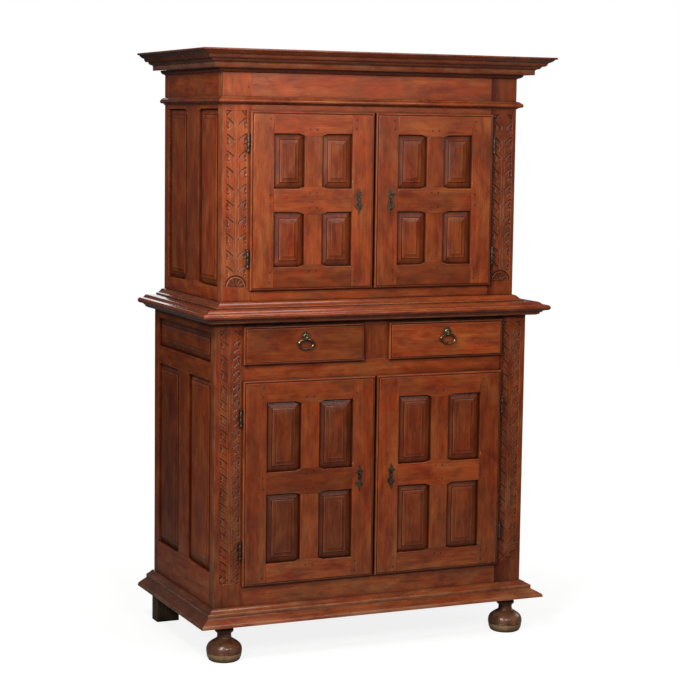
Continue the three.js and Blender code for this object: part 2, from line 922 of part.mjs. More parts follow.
// A back of upright boards with a V groove at each joint.
function boardedBack(width, z0, z1) {
  const half = width / 2 - side_thickness;
  const sheet = block(-half, half, back_y - back_thickness, back_y, z0, z1);
  const pitch = (half * 2) / back_board_count;
  const grooves = Array.from({ length: back_board_count - 1 }, (_, i) => {
    const x = -half + pitch * (i + 1);
    const groove = new THREE.Shape([
      new THREE.Vector2(x - back_board_groove, back_y + back_board_groove / 2),
      new THREE.Vector2(x, back_y - back_board_groove),
      new THREE.Vector2(x + back_board_groove, back_y + back_board_groove / 2),
    ]);
    const tall = z1 - z0 + overrun * 2;
    const cutter = new THREE.ExtrudeGeometry(groove, { depth: tall, bevelEnabled: false });
    cutter.translate(0, 0, z0 - overrun);
    return solid(cutter);
  });
  return cut(sheet, grooves);
}

// The base: a moulded board under the lower case with a strip round the case's foot.
function base() {
  const half = lower_width / 2;
  const board = mitredMoulding(
    base_profile_shares,
    base_reach,
    base_board_height,
    half,
    lower_front_y,
    foot_height,
    overrun,
  );
  const middle = block(-half, half, lower_front_y, back_y, foot_height, lower_case_z);
  const strip = mitredMoulding(
    base_strip_profile_shares,
    base_strip_reach,
    base_strip_height,
    half,
    lower_front_y,
    lower_case_z,
    0,
  );
  return joined([middle, board, strip]);
}

function waistBoard() {
  const half = lower_width / 2;
  const edge = mitredMoulding(
    waist_profile_shares,
    waist_reach,
    waist_height,
    half,
    lower_front_y,
    waist_z,
    overrun,
  );
  return joined([edge, block(-half, half, lower_front_y, back_y, waist_z, upper_base_z)]);
}

function upperBaseBoard() {
  const half = upper_width / 2;
  const edge = mitredMoulding(
    upper_base_profile_shares,
    upper_base_reach,
    upper_base_height,
    half,
    upper_front_y,
    upper_base_z,
    overrun,
  );
  return joined([edge, block(-half, half, upper_front_y, back_y, upper_base_z, upper_case_z)]);
}

function friezeMoulding() {
  const z = frieze_rail_z + frieze_moulding_gap;
  return mitredMoulding(
    frieze_profile_shares,
    frieze_moulding_reach,
    frieze_moulding_height,
    upper_width / 2,
    upper_front_y,
    z,
    0,
  );
}

// The cornice: mouldings mitred round the case, with the top board that they frame.
function cornice() {
  const half = upper_width / 2;
  const z = total_height - cornice_height;
  const edge = mitredMoulding(
    cornice_profile_shares,
    cornice_reach,
    cornice_height,
    half,
    upper_front_y,
    z,
    0,
  );
  const top = block(
    -half - overrun,
    half + overrun,
    upper_front_y - overrun,
    back_y,
    upper_case_top_z,
    total_height,
  );
  return edge.add(top);
}

function lowerBottom() {
  const half = lower_width / 2 - side_thickness;
  const inner = lower_width / 2 - lower_post_width;
  const top = lower_opening_z - lower_floor_drop;
  const rear = back_y - back_thickness;
  const wide = block(-half, half, lower_front_y + post_depth, rear, top - board_thickness, top);
  const nose = block(-inner, inner, lower_front_y + front_rail_depth, rear, top - board_thickness, top);
  return joined([wide, nose]);
}

// The boards that the drawers run on, with a guide at each side of each drawer.
function drawerDeck() {
  const half = lower_width / 2 - side_thickness;
  const inner = lower_width / 2 - lower_post_width;
  const half_divider = drawer_divider_width / 2;
  const rear = back_y - back_thickness;
  const front = lower_front_y + front_rail_depth;
  const foot = drawer_opening_z - board_thickness;
  const wide = block(-half, half, lower_front_y + post_depth, rear, foot, drawer_opening_z);
  const nose = block(-inner, inner, front, rear, foot, drawer_opening_z);
  const guide_top = drawer_opening_z + guide_height;
  const guides = [-1, 1].map((side) =>
    block(
      Math.min(side * inner, side * (inner + guide_width)),
      Math.max(side * inner, side * (inner + guide_width)),
      lower_front_y + post_depth,
      rear,
      foot,
      guide_top,
    ),
  );
  const middle = block(-half_divider, half_divider, front, rear, foot, guide_top);
  return joined([wide, nose, middle, ...guides]);
}

function upperShelf() {
  const half = upper_width / 2 - side_thickness;
  const foot = upper_case_z + shelf_rise;
  return block(
    -half,
    half,
    upper_front_y + post_depth,
    back_y - back_thickness,
    foot,
    foot + shelf_thickness,
  );
}

function drawerPlaces(side) {
  const inner = drawer_divider_width / 2;
  const outer = lower_width / 2 - lower_post_width;
  const x0 = side < 0 ? -outer : inner;
  const x1 = side < 0 ? -inner : outer;
  return { x0, x1, middle: (x0 + x1) / 2, face_y: lower_front_y - front_proud };
}

// Where a pull's ring passes through its eye.
function pullAxis(side) {
  const place = drawerPlaces(side);
  return {
    x: place.middle,
    y: place.face_y - pull_eye_reach,
    z: drawer_opening_z - front_overlay + pull_eye_rise,
  };
}

// A drawer front with its moulded lip, its pull's plate and the eye that the ring hangs in.
function drawerFront(side) {
  const place = drawerPlaces(side);
  const z0 = drawer_opening_z;
  const z1 = lower_top_rail_z;
  const gap = drawer_side_clearance;
  const lip = lippedPlate(
    place.x0 - front_overlay,
    place.x1 + front_overlay,
    z0 - front_overlay,
    z1 + front_overlay,
    place.face_y,
  );
  const inner = block(
    place.x0 + gap,
    place.x1 - gap,
    lower_front_y - front_proud / 2,
    lower_front_y + front_inside,
    z0 + gap,
    z1 - gap,
  );
  const half = outline(pull_plate_outline_shares, pull_plate_width / 2, pull_plate_height);
  const foot = z0 - front_overlay + pull_plate_rise - pull_plate_height / 2;
  const points = bothHalves(half, place.middle, foot);
  const plate = prism(points, place.face_y - pull_plate_thickness, place.face_y + front_proud / 4);
  return joined([lip, inner, plate]).add(pullEye(side));
}

// The eye: a loop round the ring's top, on a neck that rises into a dimpled boss on the plate.
function pullEye(side) {
  const place = drawerPlaces(side);
  const axis = pullAxis(side);
  const half = pull_eye_width / 2;
  const root_y = place.face_y + front_proud / 4;
  const disc = crossDisc(pull_eye_radius, pull_eye_width, axis.x, axis.y, axis.z);
  const neck = block(
    axis.x - half,
    axis.x + half,
    axis.y - pull_eye_radius + pull_neck_setback,
    root_y,
    axis.z,
    axis.z + pull_neck_height,
  );
  const boss_z = axis.z + pull_boss_lift;
  const boss_y = place.face_y - pull_plate_thickness - pull_boss_thickness;
  const boss = pinHole(pull_boss_radius, axis.x, boss_z, boss_y, root_y, knuckle_sides);
  const hole = crossDisc(ring_tube_radius + ring_slack, pull_eye_width * 2, axis.x, axis.y, axis.z);
  const dimple = pinHole(
    pull_boss_dimple_radius,
    axis.x,
    boss_z,
    boss_y - overrun,
    boss_y + pull_boss_dimple_depth,
    piercing_sides,
  );
  return cut(joined([disc, neck, boss]), [hole, dimple]);
}

// A disc whose axis runs across the front.
function crossDisc(radius, width, x, y, z) {
  const geometry = new THREE.CylinderGeometry(radius, radius, width, knuckle_sides);
  geometry.rotateZ(Math.PI / 2);
  geometry.translate(x, y, z);
  return solid(geometry);
}

// The oval ring, hanging in its eye.
function pullRing(side) {
  const axis = pullAxis(side);
  const half_width = ring_width / 2 - ring_tube_radius;
  const half_height = ring_height / 2 - ring_tube_radius;
  const middle_z = axis.z - half_height;
  const rings = Array.from({ length: ring_steps }, (_, i) => {
    const turn = (i / ring_steps) * Math.PI * 2;
    const centre = new THREE.Vector3(half_width * Math.sin(turn), 0, half_height * Math.cos(turn));
    const out = new THREE.Vector3(Math.sin(turn) / half_width, 0, Math.cos(turn) / half_height);
    out.normalize();
    return Array.from({ length: ring_sides }, (_unused, k) => {
      const roll = (k / ring_sides) * Math.PI * 2;
      return new THREE.Vector3(
        axis.x + centre.x + out.x * ring_tube_radius * Math.cos(roll),
        axis.y + ring_tube_radius * Math.sin(roll),
        middle_z + centre.z + out.z * ring_tube_radius * Math.cos(roll),
      );
    });
  });
  const places = rings.flat().flatMap((p) => [p.x, p.y, p.z]);
  const faces = [];
  for (let r = 0; r < ring_steps; r++) {
    for (let k = 0; k < ring_sides; k++) {
      const s = (r + 1) % ring_steps;
      const m = (k + 1) % ring_sides;
      const a = r * ring_sides + k;
      const b = r * ring_sides + m;
      const c = s * ring_sides + m;
      const d = s * ring_sides + k;
      faces.push(a, d, c, a, c, b);
    }
  }
  const geometry = new THREE.BufferGeometry();
  geometry.setAttribute("position", new THREE.Float32BufferAttribute(places, 3));
  geometry.setIndex(faces);
  const body = solid(geometry);
  return body.volume() < 0 ? solid(turnedInsideOut(geometry)) : body;
}

// The drawer's box: two sides, a back and a bottom, open above.
function drawerBox(side) {
  const place = drawerPlaces(side);
  const gap = drawer_side_clearance;
  const x0 = place.x0 + gap;
  const x1 = place.x1 - gap;
  const y0 = lower_front_y + front_inside;
  const y1 = y0 + drawer_box_depth;
  const z0 = drawer_opening_z + seat_gap;
  const z1 = z0 + drawer_box_height;
  const wall = drawer_side_thickness;
  const whole = block(x0, x1, y0, y1, z0, z1);
  const inside = block(
    x0 + wall,
    x1 - wall,
    y0 - overrun,
    y1 - wall,
    z0 + drawer_bottom_thickness,
    z1 + overrun,
  );
  return cut(whole, [inside]);
}

function ballFoot(side) {
  const profile = outline(ball_foot_profile_shares, ball_foot_radius, foot_height);
  const geometry = new THREE.LatheGeometry(profile, foot_sides);
  geometry.rotateX(Math.PI / 2);
  geometry.translate(
    side * (lower_width / 2 - ball_foot_side_inset),
    lower_front_y + ball_foot_front_inset,
    0,
  );
  return solid(geometry);
}

function blockFoot(side) {
  const outer = lower_width / 2 + block_foot_outset;
  const inner = outer - block_foot_width;
  const x0 = Math.min(side * outer, side * inner);
  const x1 = Math.max(side * outer, side * inner);
  const c = block_foot_chamfer;
  const points = [
    [x0 + c, 0],
    [x1 - c, 0],
    [x1, c],
    [x1, foot_height],
    [x0, foot_height],
    [x0, c],
  ].map(([x, z]) => new THREE.Vector2(x, z));
  return prism(points, back_y - block_foot_depth, back_y);
}

const cupboard = new THREE.Group();

function add(name, shape, material) {
  const geometry = shape.isBufferGeometry ? shape : geometryOf(shape);
  const mesh = new THREE.Mesh(geometry, material);
  mesh.name = name;
  cupboard.add(mesh);
}

const sides = [
  ["left", -1],
  ["right", 1],
];

add("base", base(), case_wood);
add("lower_front_frame", lowerFrontFrame(), front_wood);
add("lower_back", boardedBack(lower_width, lower_case_z, waist_z), inner_wood);
add("lower_bottom", lowerBottom(), inner_wood);
add("drawer_deck", drawerDeck(), inner_wood);
add("waist_board", waistBoard(), case_wood);
add("upper_base_board", upperBaseBoard(), case_wood);
add("upper_front_frame", upperFrontFrame(), front_wood);
add("upper_back", boardedBack(upper_width, upper_case_z, upper_case_top_z), inner_wood);
add("upper_shelf", upperShelf(), inner_wood);
add("frieze_moulding", friezeMoulding(), case_wood);
add("cornice", cornice(), case_wood);

for (const [name, side] of sides) {
  add(`lower_${name}_side`, lowerSide(side), case_wood);
  add(`upper_${name}_side`, upperSide(side), case_wood);
  add(`front_${name}_ball_foot`, ballFoot(side), foot_wood);
  add(`rear_${name}_block_foot`, blockFoot(side), foot_wood);
  add(`${name}_drawer_front`, drawerFront(side), front_wood);
  add(`${name}_drawer_box`, drawerBox(side), inner_wood);
  add(`${name}_drawer_ring`, pullRing(side), old_brass);
}

for (const [level, set] of Object.entries(door_sets)) {
  for (const [name, side] of sides) {
    const place = doorPlaces(set, side);
    const door = `${level}_${name}_door`;
    add(`${door}_frame`, doorFrame(set, side), front_wood);
    add(`${door}_escutcheon`, escutcheon(set, side), old_brass);
    for (const opening of place.openings) {
      add(`${door}_panel_${opening.name}`, loosePanel(opening, place.face_y), panel_wood);
    }
    for (const [height, z] of Object.entries(place.hinge_heights)) {
      add(`${level}_${name}_${height}_hinge_pin`, caseHingeHalf(place, set, z), old_iron);
    }
    if (side > 0) {
      add(`${door}_lock_bolt`, lockBolt(place, set), old_iron);
    }
  }
}

export default cupboard;
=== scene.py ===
# %% [markdown]
# # A two-part panelled cupboard
# The construction is already settled: every board, door, drawer and hinge has its size and place
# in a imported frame, and that frame is never moved. What this notebook adds is what the eye needs:
# boards with their own grain, softened arrises, carving, mouldings with true curves, and old metal.
# Everything is in metres, with the front facing -Y and the floor at Z = 0.

# %% Load the construction
import json
import math
import random
import bpy
import numpy as np
from mathutils import Matrix, Vector


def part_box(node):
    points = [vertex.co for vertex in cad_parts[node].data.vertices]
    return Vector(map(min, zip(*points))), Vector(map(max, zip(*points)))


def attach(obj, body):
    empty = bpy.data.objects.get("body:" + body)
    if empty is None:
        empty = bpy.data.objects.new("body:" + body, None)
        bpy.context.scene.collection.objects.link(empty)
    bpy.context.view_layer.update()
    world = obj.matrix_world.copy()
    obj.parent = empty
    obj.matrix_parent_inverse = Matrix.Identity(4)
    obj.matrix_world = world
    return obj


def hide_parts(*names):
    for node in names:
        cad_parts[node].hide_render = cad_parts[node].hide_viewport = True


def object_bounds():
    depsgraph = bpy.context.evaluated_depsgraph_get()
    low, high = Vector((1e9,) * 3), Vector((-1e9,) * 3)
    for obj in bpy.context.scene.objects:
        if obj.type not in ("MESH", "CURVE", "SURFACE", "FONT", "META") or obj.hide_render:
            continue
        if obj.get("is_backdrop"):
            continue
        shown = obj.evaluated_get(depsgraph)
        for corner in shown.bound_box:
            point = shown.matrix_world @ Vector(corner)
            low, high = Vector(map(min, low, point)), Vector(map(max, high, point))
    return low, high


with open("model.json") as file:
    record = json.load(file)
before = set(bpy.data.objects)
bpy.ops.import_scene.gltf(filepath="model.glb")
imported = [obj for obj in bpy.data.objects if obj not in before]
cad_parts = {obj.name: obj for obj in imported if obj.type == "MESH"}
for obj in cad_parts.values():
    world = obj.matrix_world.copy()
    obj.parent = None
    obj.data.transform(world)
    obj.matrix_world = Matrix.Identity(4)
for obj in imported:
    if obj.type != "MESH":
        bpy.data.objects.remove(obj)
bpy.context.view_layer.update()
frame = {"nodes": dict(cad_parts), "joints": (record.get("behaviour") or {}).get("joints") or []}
MM = 0.001
dice = random.Random(1760)

# %% [markdown]
# ## The camera
# The camera is set first, because everything is judged through it. Its place was solved from the
# straight edges of the two cases, so it is written as a place, three turns and a focal length.
# A camera looks along its own -Z, so its three axes become the columns of its rotation.

# %% Camera
EYE = Vector((-2.8035, -6.2270, 1.8077))
YAW, PITCH, ROLL = (math.radians(turn) for turn in (-24.165, -6.335, 0.756))
LENS_MM, SENSOR_MM = 101.40, 36
FARTHEST = 100


def looking(yaw, pitch, roll):
    ahead = Vector((-math.sin(yaw) * math.cos(pitch), math.cos(yaw) * math.cos(pitch), math.sin(pitch)))
    right = Vector((math.cos(yaw), math.sin(yaw), 0))
    up = right.cross(ahead)
    rolled_right = right * math.cos(roll) + up * math.sin(roll)
    rolled_up = up * math.cos(roll) - right * math.sin(roll)
    return Matrix((rolled_right, rolled_up, -ahead)).transposed()


def added(name, data):
    made = bpy.data.objects.new(name, data)
    bpy.context.scene.collection.objects.link(made)
    return made


camera = added("camera", bpy.data.cameras.new("camera"))
camera.matrix_world = Matrix.Translation(EYE) @ looking(YAW, PITCH, ROLL).to_4x4()
camera.data.lens = LENS_MM
camera.data.sensor_width = SENSOR_MM
camera.data.clip_end = FARTHEST
bpy.context.scene.camera = camera
print("camera looks", [round(v, 3) for v in camera.matrix_world.to_3x3() @ Vector((0, 0, -1))])

# %% [markdown]
# ## A small kit for shader nodes
# A material is a graph of nodes. Writing each node as one call, with its sockets in a dictionary,
# keeps the graph readable: a value that is itself a socket is linked, anything else is typed in.

# %% Node helpers


def node(tree, kind, sockets=None, **settings):
    made = tree.nodes.new("ShaderNode" + kind)
    for key, value in settings.items():
        setattr(made, key, value)
    for key, value in (sockets or {}).items():
        if isinstance(value, bpy.types.NodeSocket):
            tree.links.new(value, made.inputs[key])
        else:
            made.inputs[key].default_value = value
    return made


def blank_material(name):
    made = bpy.data.materials.new(name)
    made.use_nodes = True
    made.node_tree.nodes.clear()
    return made, made.node_tree


def math_of(tree, operation, first, second, clamp=False):
    return node(tree, "Math", {0: first, 1: second}, operation=operation, use_clamp=clamp).outputs[0]


def weighted(tree, terms):
    total = 0.0
    for value, weight in terms:
        total = math_of(tree, "ADD", math_of(tree, "MULTIPLY", value, weight), total)
    return total


def mixed(tree, share, first, second, blend="MIX"):
    made = node(tree, "Mix", {0: share, 6: first, 7: second}, data_type="RGBA", blend_type=blend)
    return made.outputs[2]


def stretched_noise(tree, where, per_metre, detail, roughness=0.55, distortion=0.0):
    along, across, deep = per_metre
    scaled = node(tree, "VectorMath", {0: where, 1: (along, across, deep)}, operation="MULTIPLY")
    sockets = {
        "Vector": scaled.outputs[0],
        "Scale": 1.0,
        "Detail": detail,
        "Roughness": roughness,
        "Distortion": distortion,
    }
    return node(tree, "TexNoise", sockets).outputs["Fac"]


def ramp(tree, value, stops):
    made = node(tree, "ValToRGB", {"Fac": value})
    points = made.color_ramp.elements
    while len(points) < len(stops):
        points.new(0.5)
    for point, (place, colour) in zip(points, stops):
        point.position = place
        point.color = (*colour, 1) if len(colour) == 3 else colour
    return made.outputs["Color"]


def remapped(tree, value, low, high, to_low=0.0, to_high=1.0):
    sockets = {0: value, 1: low, 2: high, 3: to_low, 4: to_high}
    return node(tree, "MapRange", sockets).outputs[0]


print("node helpers ready")

# %% [markdown]
# ## Waxed wood
# Each board carries its own coordinates, called grain, whose first number runs along the fibres.
# Noise that is stretched along that number gives streaks that stop at every joint, as in real
# joinery, where one image laid over the whole front would run straight through the joints.
# A second value, tone, makes boards differ. A third, wear, is 1 on the rubbed arrises, and a
# fourth is 1 in the bottom of the carver's cuts; it also carries painted shade under mouldings,
# round the panels and at the feet of their steps, on the lower and right-hand lips and beside the
# right-hand doors. Old wax gathers in corners, and an ambient occlusion node darkens every corner
# and recess from the shape itself, which paints their shade as well. Near the floor the colour is
# greyed by height, a painted reflection of the pale floor in the wax. The carving and the mouldings
# are rubbed to a paler colour than the flat boards, which also paints the highlights on their edges.

# %% Wood material
AO_REACH = 24 * MM
X, Y, Z = 0, 1, 2
GRAIN_ORDER = {X: (0, 2, 1), Y: (1, 2, 0), Z: (2, 0, 1)}
# The last tint greys the wood near the floor: a painted reflection of the pale floor.
REDDER, GOLDENER, FLOOR_REFLECTION_TINT = (1.03, 0.78, 0.62, 1), (0.98, 1.2, 1.2, 1), (0.92, 1.24, 1.8, 1)
FLOOR_REFLECTION_TOP, FLOOR_REFLECTION_GONE_AT = 0.2, 0.6
# Of each noise: repeats per metre along, across and into the board, detail, roughness, distortion.
WOOD_NOISES = {
    "clouds": ((6, 13, 13), 4, 0.6, 0.8),
    "mottle": ((14, 36, 36), 4, 0.62, 0.5),
    "streaks": ((5, 80, 80), 4, 0.62),
    "fibres": ((9, 420, 420), 3, 0.6),
    "pores": ((55, 1500, 1500), 2),
    "flecks": ((26, 210, 210), 3, 0.6),
    "drift": ((7, 15, 15), 4, 0.6, 0.6),
    "patches": ((14, 22, 22), 3),
}


def grain_from_place(tree, along):
    place = node(tree, "TexCoord").outputs["Object"]
    parts = node(tree, "SeparateXYZ", {0: place}).outputs
    ordered = {i: parts[axis] for i, axis in enumerate(GRAIN_ORDER[along])}
    return node(tree, "CombineXYZ", ordered).outputs[0]


def multiplied(tree, colour, tint):
    return mixed(tree, 1.0, colour, tint, "MULTIPLY")


def darker(colour, share):
    return (*[c * share for c in colour], 1)


def wood(name, deep, middle, pale, worn, rough=0.32, along=None, grime_and_shade=0.92, wax=(0.12, 0.14), gleam=0.4):
    """A waxed wood. along is the axis of the fibres where the piece carries no grain of its own."""
    made, tree = blank_material(name)
    carried = along is None
    if carried:
        grain = node(tree, "Attribute", attribute_name="grain").outputs["Vector"]
        # The last attribute holds real dirt and painted shade together.
        tone, wear, dirt = (
            node(tree, "Attribute", attribute_name=key).outputs["Fac"] for key in ("tone", "wear", "dirt")
        )
    else:
        grain = grain_from_place(tree, along)
    noise = {key: stretched_noise(tree, grain, *how) for key, how in WOOD_NOISES.items()}
    figure = weighted(tree, ((noise["clouds"], 0.46), (noise["mottle"], 0.34), (noise["streaks"], 0.2)))
    colour = ramp(tree, figure, [(0.39, deep), (0.5, middle), (0.61, pale)])
    hue = weighted(tree, ((noise["drift"], 0.85), (noise["streaks"], 0.15)))
    tints = [multiplied(tree, colour, tint) for tint in (REDDER, GOLDENER)]
    colour = mixed(tree, remapped(tree, hue, 0.38, 0.62), *tints)
    fine = remapped(tree, noise["fibres"], 0.3, 0.7, 0.76, 1.2)
    if carried:
        place = node(tree, "TexCoord").outputs["Object"]
        above_floor = node(tree, "SeparateXYZ", {0: place}).outputs["Z"]
        # Painted reflection: the wood is greyed near the floor as if the pale floor were mirrored in it.
        floor_reflection_share = remapped(tree, above_floor, FLOOR_REFLECTION_TOP, FLOOR_REFLECTION_GONE_AT, 0.85, 0.0)
        colour = mixed(tree, floor_reflection_share, colour, multiplied(tree, colour, FLOOR_REFLECTION_TINT))
        fine = math_of(tree, "MULTIPLY", fine, remapped(tree, tone, -1.5, 1.5, 0.62, 1.38))
    fine_grey = node(tree, "CombineColor", {i: fine for i in range(3)}).outputs[0]
    colour = multiplied(tree, colour, fine_grey)
    pore_mask = remapped(tree, noise["pores"], 0.62, 0.72, 0.0, 0.45)
    fleck_mask = remapped(tree, noise["flecks"], 0.6, 0.74, 0.0, 0.55)
    colour = mixed(tree, math_of(tree, "MAXIMUM", pore_mask, fleck_mask), colour, darker(deep, 0.35))
    # Painted shade: the occlusion darkens every corner and recess, where old wax also gathers.
    open_air = node(tree, "AmbientOcclusion", {"Distance": AO_REACH}, samples=8).outputs["AO"]
    corner_dirt_and_shade = remapped(tree, open_air, 0.36, 0.96, grime_and_shade, 0.0)
    unevenly = remapped(tree, noise["patches"], 0.25, 0.7, 0.7, 1.1)
    corner_dirt_and_shade = math_of(tree, "MULTIPLY", corner_dirt_and_shade, unevenly, True)
    dark_wax_and_shade = darker(deep, 0.16)
    if carried:
        in_places = remapped(tree, noise["patches"], 0.38, 0.64, 0.08, 0.6)
        colour = mixed(tree, math_of(tree, "MULTIPLY", wear, in_places, True), colour, (*worn, 1))
        colour = mixed(tree, math_of(tree, "MULTIPLY", dirt, 0.9, True), colour, dark_wax_and_shade)
    colour = mixed(tree, corner_dirt_and_shade, colour, dark_wax_and_shade)
    gloss = remapped(tree, noise["patches"], 0.3, 0.7, rough - 0.05, rough + 0.09)
    gloss = math_of(tree, "ADD", gloss, remapped(tree, noise["fibres"], 0.3, 0.7, 0.05, -0.04))
    height = weighted(tree, ((noise["streaks"], 0.6), (noise["fibres"], 0.5), (pore_mask, -0.5)))
    bump = node(tree, "Bump", {"Strength": 0.25, "Distance": 0.6 * MM, "Height": height})
    surface = {
        "Base Color": colour,
        "Roughness": gloss,
        "Normal": bump.outputs[0],
        "Specular IOR Level": gleam,
        "Coat Weight": wax[0],
        "Coat Roughness": wax[1],
    }
    shader = node(tree, "BsdfPrincipled", surface)
    node(tree, "OutputMaterial", {"Surface": shader.outputs[0]})
    return made


RED_DEEP = (0.16, 0.026, 0.0075)
RED_MIDDLE = (0.26, 0.048, 0.0115)
RED_PALE = (0.36, 0.076, 0.0165)
RED_WORN = (0.42, 0.13, 0.045)
# Paler than common wear: rubbed wood on carving and mouldings, which also paints their highlights.
RUBBED_PALE_AND_HIGHLIGHT = (0.58, 0.27, 0.13)


def red_wood(name, share, rough=0.32, worn=RED_WORN, grey=0.0, wax=(0.12, 0.14), gleam=0.4):
    """One of the red woods: the common colours at a share of their brightness, part way to grey."""
    shades = []
    for shade in (RED_DEEP, RED_MIDDLE, RED_PALE):
        level = sum(shade) / 3
        shades.append([(c * (1 - grey) + level * grey) * share for c in shade])
    return wood(name, *shades, worn, rough=rough, wax=wax, gleam=gleam)


front_wood = red_wood("front_wood", 1.0)
panel_wood = red_wood("panel_wood", 0.84)
carved_wood = red_wood("carved_wood", 1.0, rough=0.36, worn=RUBBED_PALE_AND_HIGHLIGHT, wax=(0.1, 0.2), gleam=0.3)
case_wood = red_wood("case_wood", 1.0, rough=0.25, worn=RUBBED_PALE_AND_HIGHLIGHT, wax=(0.55, 0.09))
# A darker copy of the red wood for the panelled sides; the extra darkness is painted shade.
side_wood = red_wood("side_wood", 0.87, wax=(0.05, 0.14), gleam=0.25)
# A darker, greyer copy of the red wood for the cornice; its extra darkness is painted shade.
cornice_wood = red_wood(
    "cornice_wood", 0.82, rough=0.24, worn=RUBBED_PALE_AND_HIGHLIGHT, grey=0.08, wax=(0.6, 0.09),
)
foot_wood = wood(
    "foot_wood", (0.12, 0.033, 0.012), (0.21, 0.06, 0.022), (0.31, 0.098, 0.036), (0.34, 0.15, 0.07),
    rough=0.25, wax=(0.5, 0.26),
)
pad_wood = wood(
    "pad_wood", (0.21, 0.096, 0.034), (0.35, 0.16, 0.058), (0.48, 0.235, 0.09), (0.48, 0.28, 0.13),
    rough=0.4,
)
block_wood = wood(
    "block_wood", (0.03, 0.016, 0.006), (0.055, 0.03, 0.011), (0.09, 0.05, 0.018), (0.12, 0.07, 0.03),
    rough=0.5,
)
peg_wood = red_wood("peg_wood", 0.5)
CHIPPED = ((0.42, 0.25, 0.16), (0.5, 0.32, 0.22), (0.58, 0.4, 0.28))
chipped_wood = wood("chipped_wood", *CHIPPED, CHIPPED[2], rough=0.6, grime_and_shade=0.3)
# Very dark: the colour of the crack, and the painted shade inside the keyholes.
crack_wood = red_wood("crack_wood", 0.08, rough=0.8)
INNER_DEEP, INNER_MIDDLE, INNER_PALE = (0.09, 0.034, 0.016), (0.18, 0.072, 0.034), (0.27, 0.12, 0.06)
inner_wood_by_axis = [
    wood(f"inner_wood_{axis}", INNER_DEEP, INNER_MIDDLE, INNER_PALE, INNER_PALE, rough=0.62, along=i)
    for i, axis in enumerate("xyz")
]
print("woods", [m.name for m in bpy.data.materials if "wood" in m.name])

# %% [markdown]
# ## Old brass and iron
# The rings, eyes and lock plates are brass gone brown, bright only where hands and dusting reach;
# the hinges are dark iron. Both are metals, so colour sits in the reflection. The tarnish is a
# noise that mixes two metal colours and roughens the surface, with the hollows kept dark.

# %% Metal material
METAL_AO_REACH = 4 * MM
METAL_GRIME = 0.8


def metal(name, bright, dark, rough):
    made, tree = blank_material(name)
    place = node(tree, "TexCoord").outputs["Object"]
    blotches = stretched_noise(tree, place, (120, 120, 120), 4, 0.6)
    specks = stretched_noise(tree, place, (900, 900, 900), 3)
    open_air = node(tree, "AmbientOcclusion", {"Distance": METAL_AO_REACH}, samples=8).outputs["AO"]
    colour = mixed(tree, remapped(tree, blotches, 0.38, 0.66), (*bright, 1), (*dark, 1))
    hollows = remapped(tree, open_air, 0.4, 0.95, METAL_GRIME, 0.0)
    colour = mixed(tree, hollows, colour, darker(dark, 0.2))
    gloss = remapped(tree, specks, 0.3, 0.7, rough - 0.08, rough + 0.16)
    bump = node(tree, "Bump", {"Strength": 0.3, "Distance": 0.3 * MM, "Height": specks})
    surface = {"Base Color": colour, "Metallic": 1.0, "Roughness": gloss, "Normal": bump.outputs[0]}
    shader = node(tree, "BsdfPrincipled", surface)
    node(tree, "OutputMaterial", {"Surface": shader.outputs[0]})
    return made


ring_brass = metal("ring_brass", (0.42, 0.29, 0.19), (0.08, 0.05, 0.032), 0.24)
eye_brass = metal("eye_brass", (0.5, 0.44, 0.24), (0.24, 0.2, 0.1), 0.34)
plate_brass = metal("plate_brass", (0.22, 0.16, 0.1), (0.05, 0.034, 0.024), 0.42)
old_iron = metal("old_iron", (0.15, 0.11, 0.08), (0.045, 0.034, 0.026), 0.5)
print("metals", [m.name for m in (ring_brass, eye_brass, plate_brass, old_iron)])

# %% [markdown]
# ## Turning outlines into pieces
# Nearly everything here is a loft: a row of closed rings, skinned from one to the next and capped
# at both ends. A board is a loft of one outline at several depths, so that its arris is softened,
# and a moulding is a loft of one section at the mitres. Each solid becomes a lump with its grain,
# tone, wear, and dirt with painted shade, and a piece joins the lumps that share a finish and a body.

# %% Lofts and pieces
SMOOTH_UNDER = math.radians(32)
PLANED = math.radians(6)


def turns(count):
    """The angles of a circle's points."""
    return [2 * math.pi * i / count for i in range(count)]


def circle(radius, count):
    return [(radius * math.cos(t), radius * math.sin(t)) for t in turns(count)]


def faces_out(points, faces):
    volume = 0.0
    for face in faces:
        first = points[face[0]]
        for i in range(1, len(face) - 1):
            volume += np.dot(first, np.cross(points[face[i]], points[face[i + 1]]))
    return faces if volume > 0 else [tuple(reversed(face)) for face in faces]


def lump(points, faces, along, wear=None, dirt=None, tone=None):
    points = np.asarray(points, float)
    shift = np.array([dice.uniform(0, 40) for _ in range(3)])
    count = len(points)
    return {
        "points": points,
        "faces": faces,
        "grain": points[:, GRAIN_ORDER[along]] + shift,
        "wear": np.zeros(count) if wear is None else np.asarray(wear, float),
        "dirt": np.zeros(count) if dirt is None else np.asarray(dirt, float),
        "tone": np.full(count, dice.uniform(-0.3, 0.3) if tone is None else tone),
    }


def spread(values, rings, size):
    """Values for every point, given for each ring, for each point of the section, or for each point."""
    if values is None:
        return None
    values = np.asarray(values, float)
    if values.ndim == 2:
        return values.ravel()
    return np.repeat(values, size) if len(values) == rings else np.tile(values, rings)


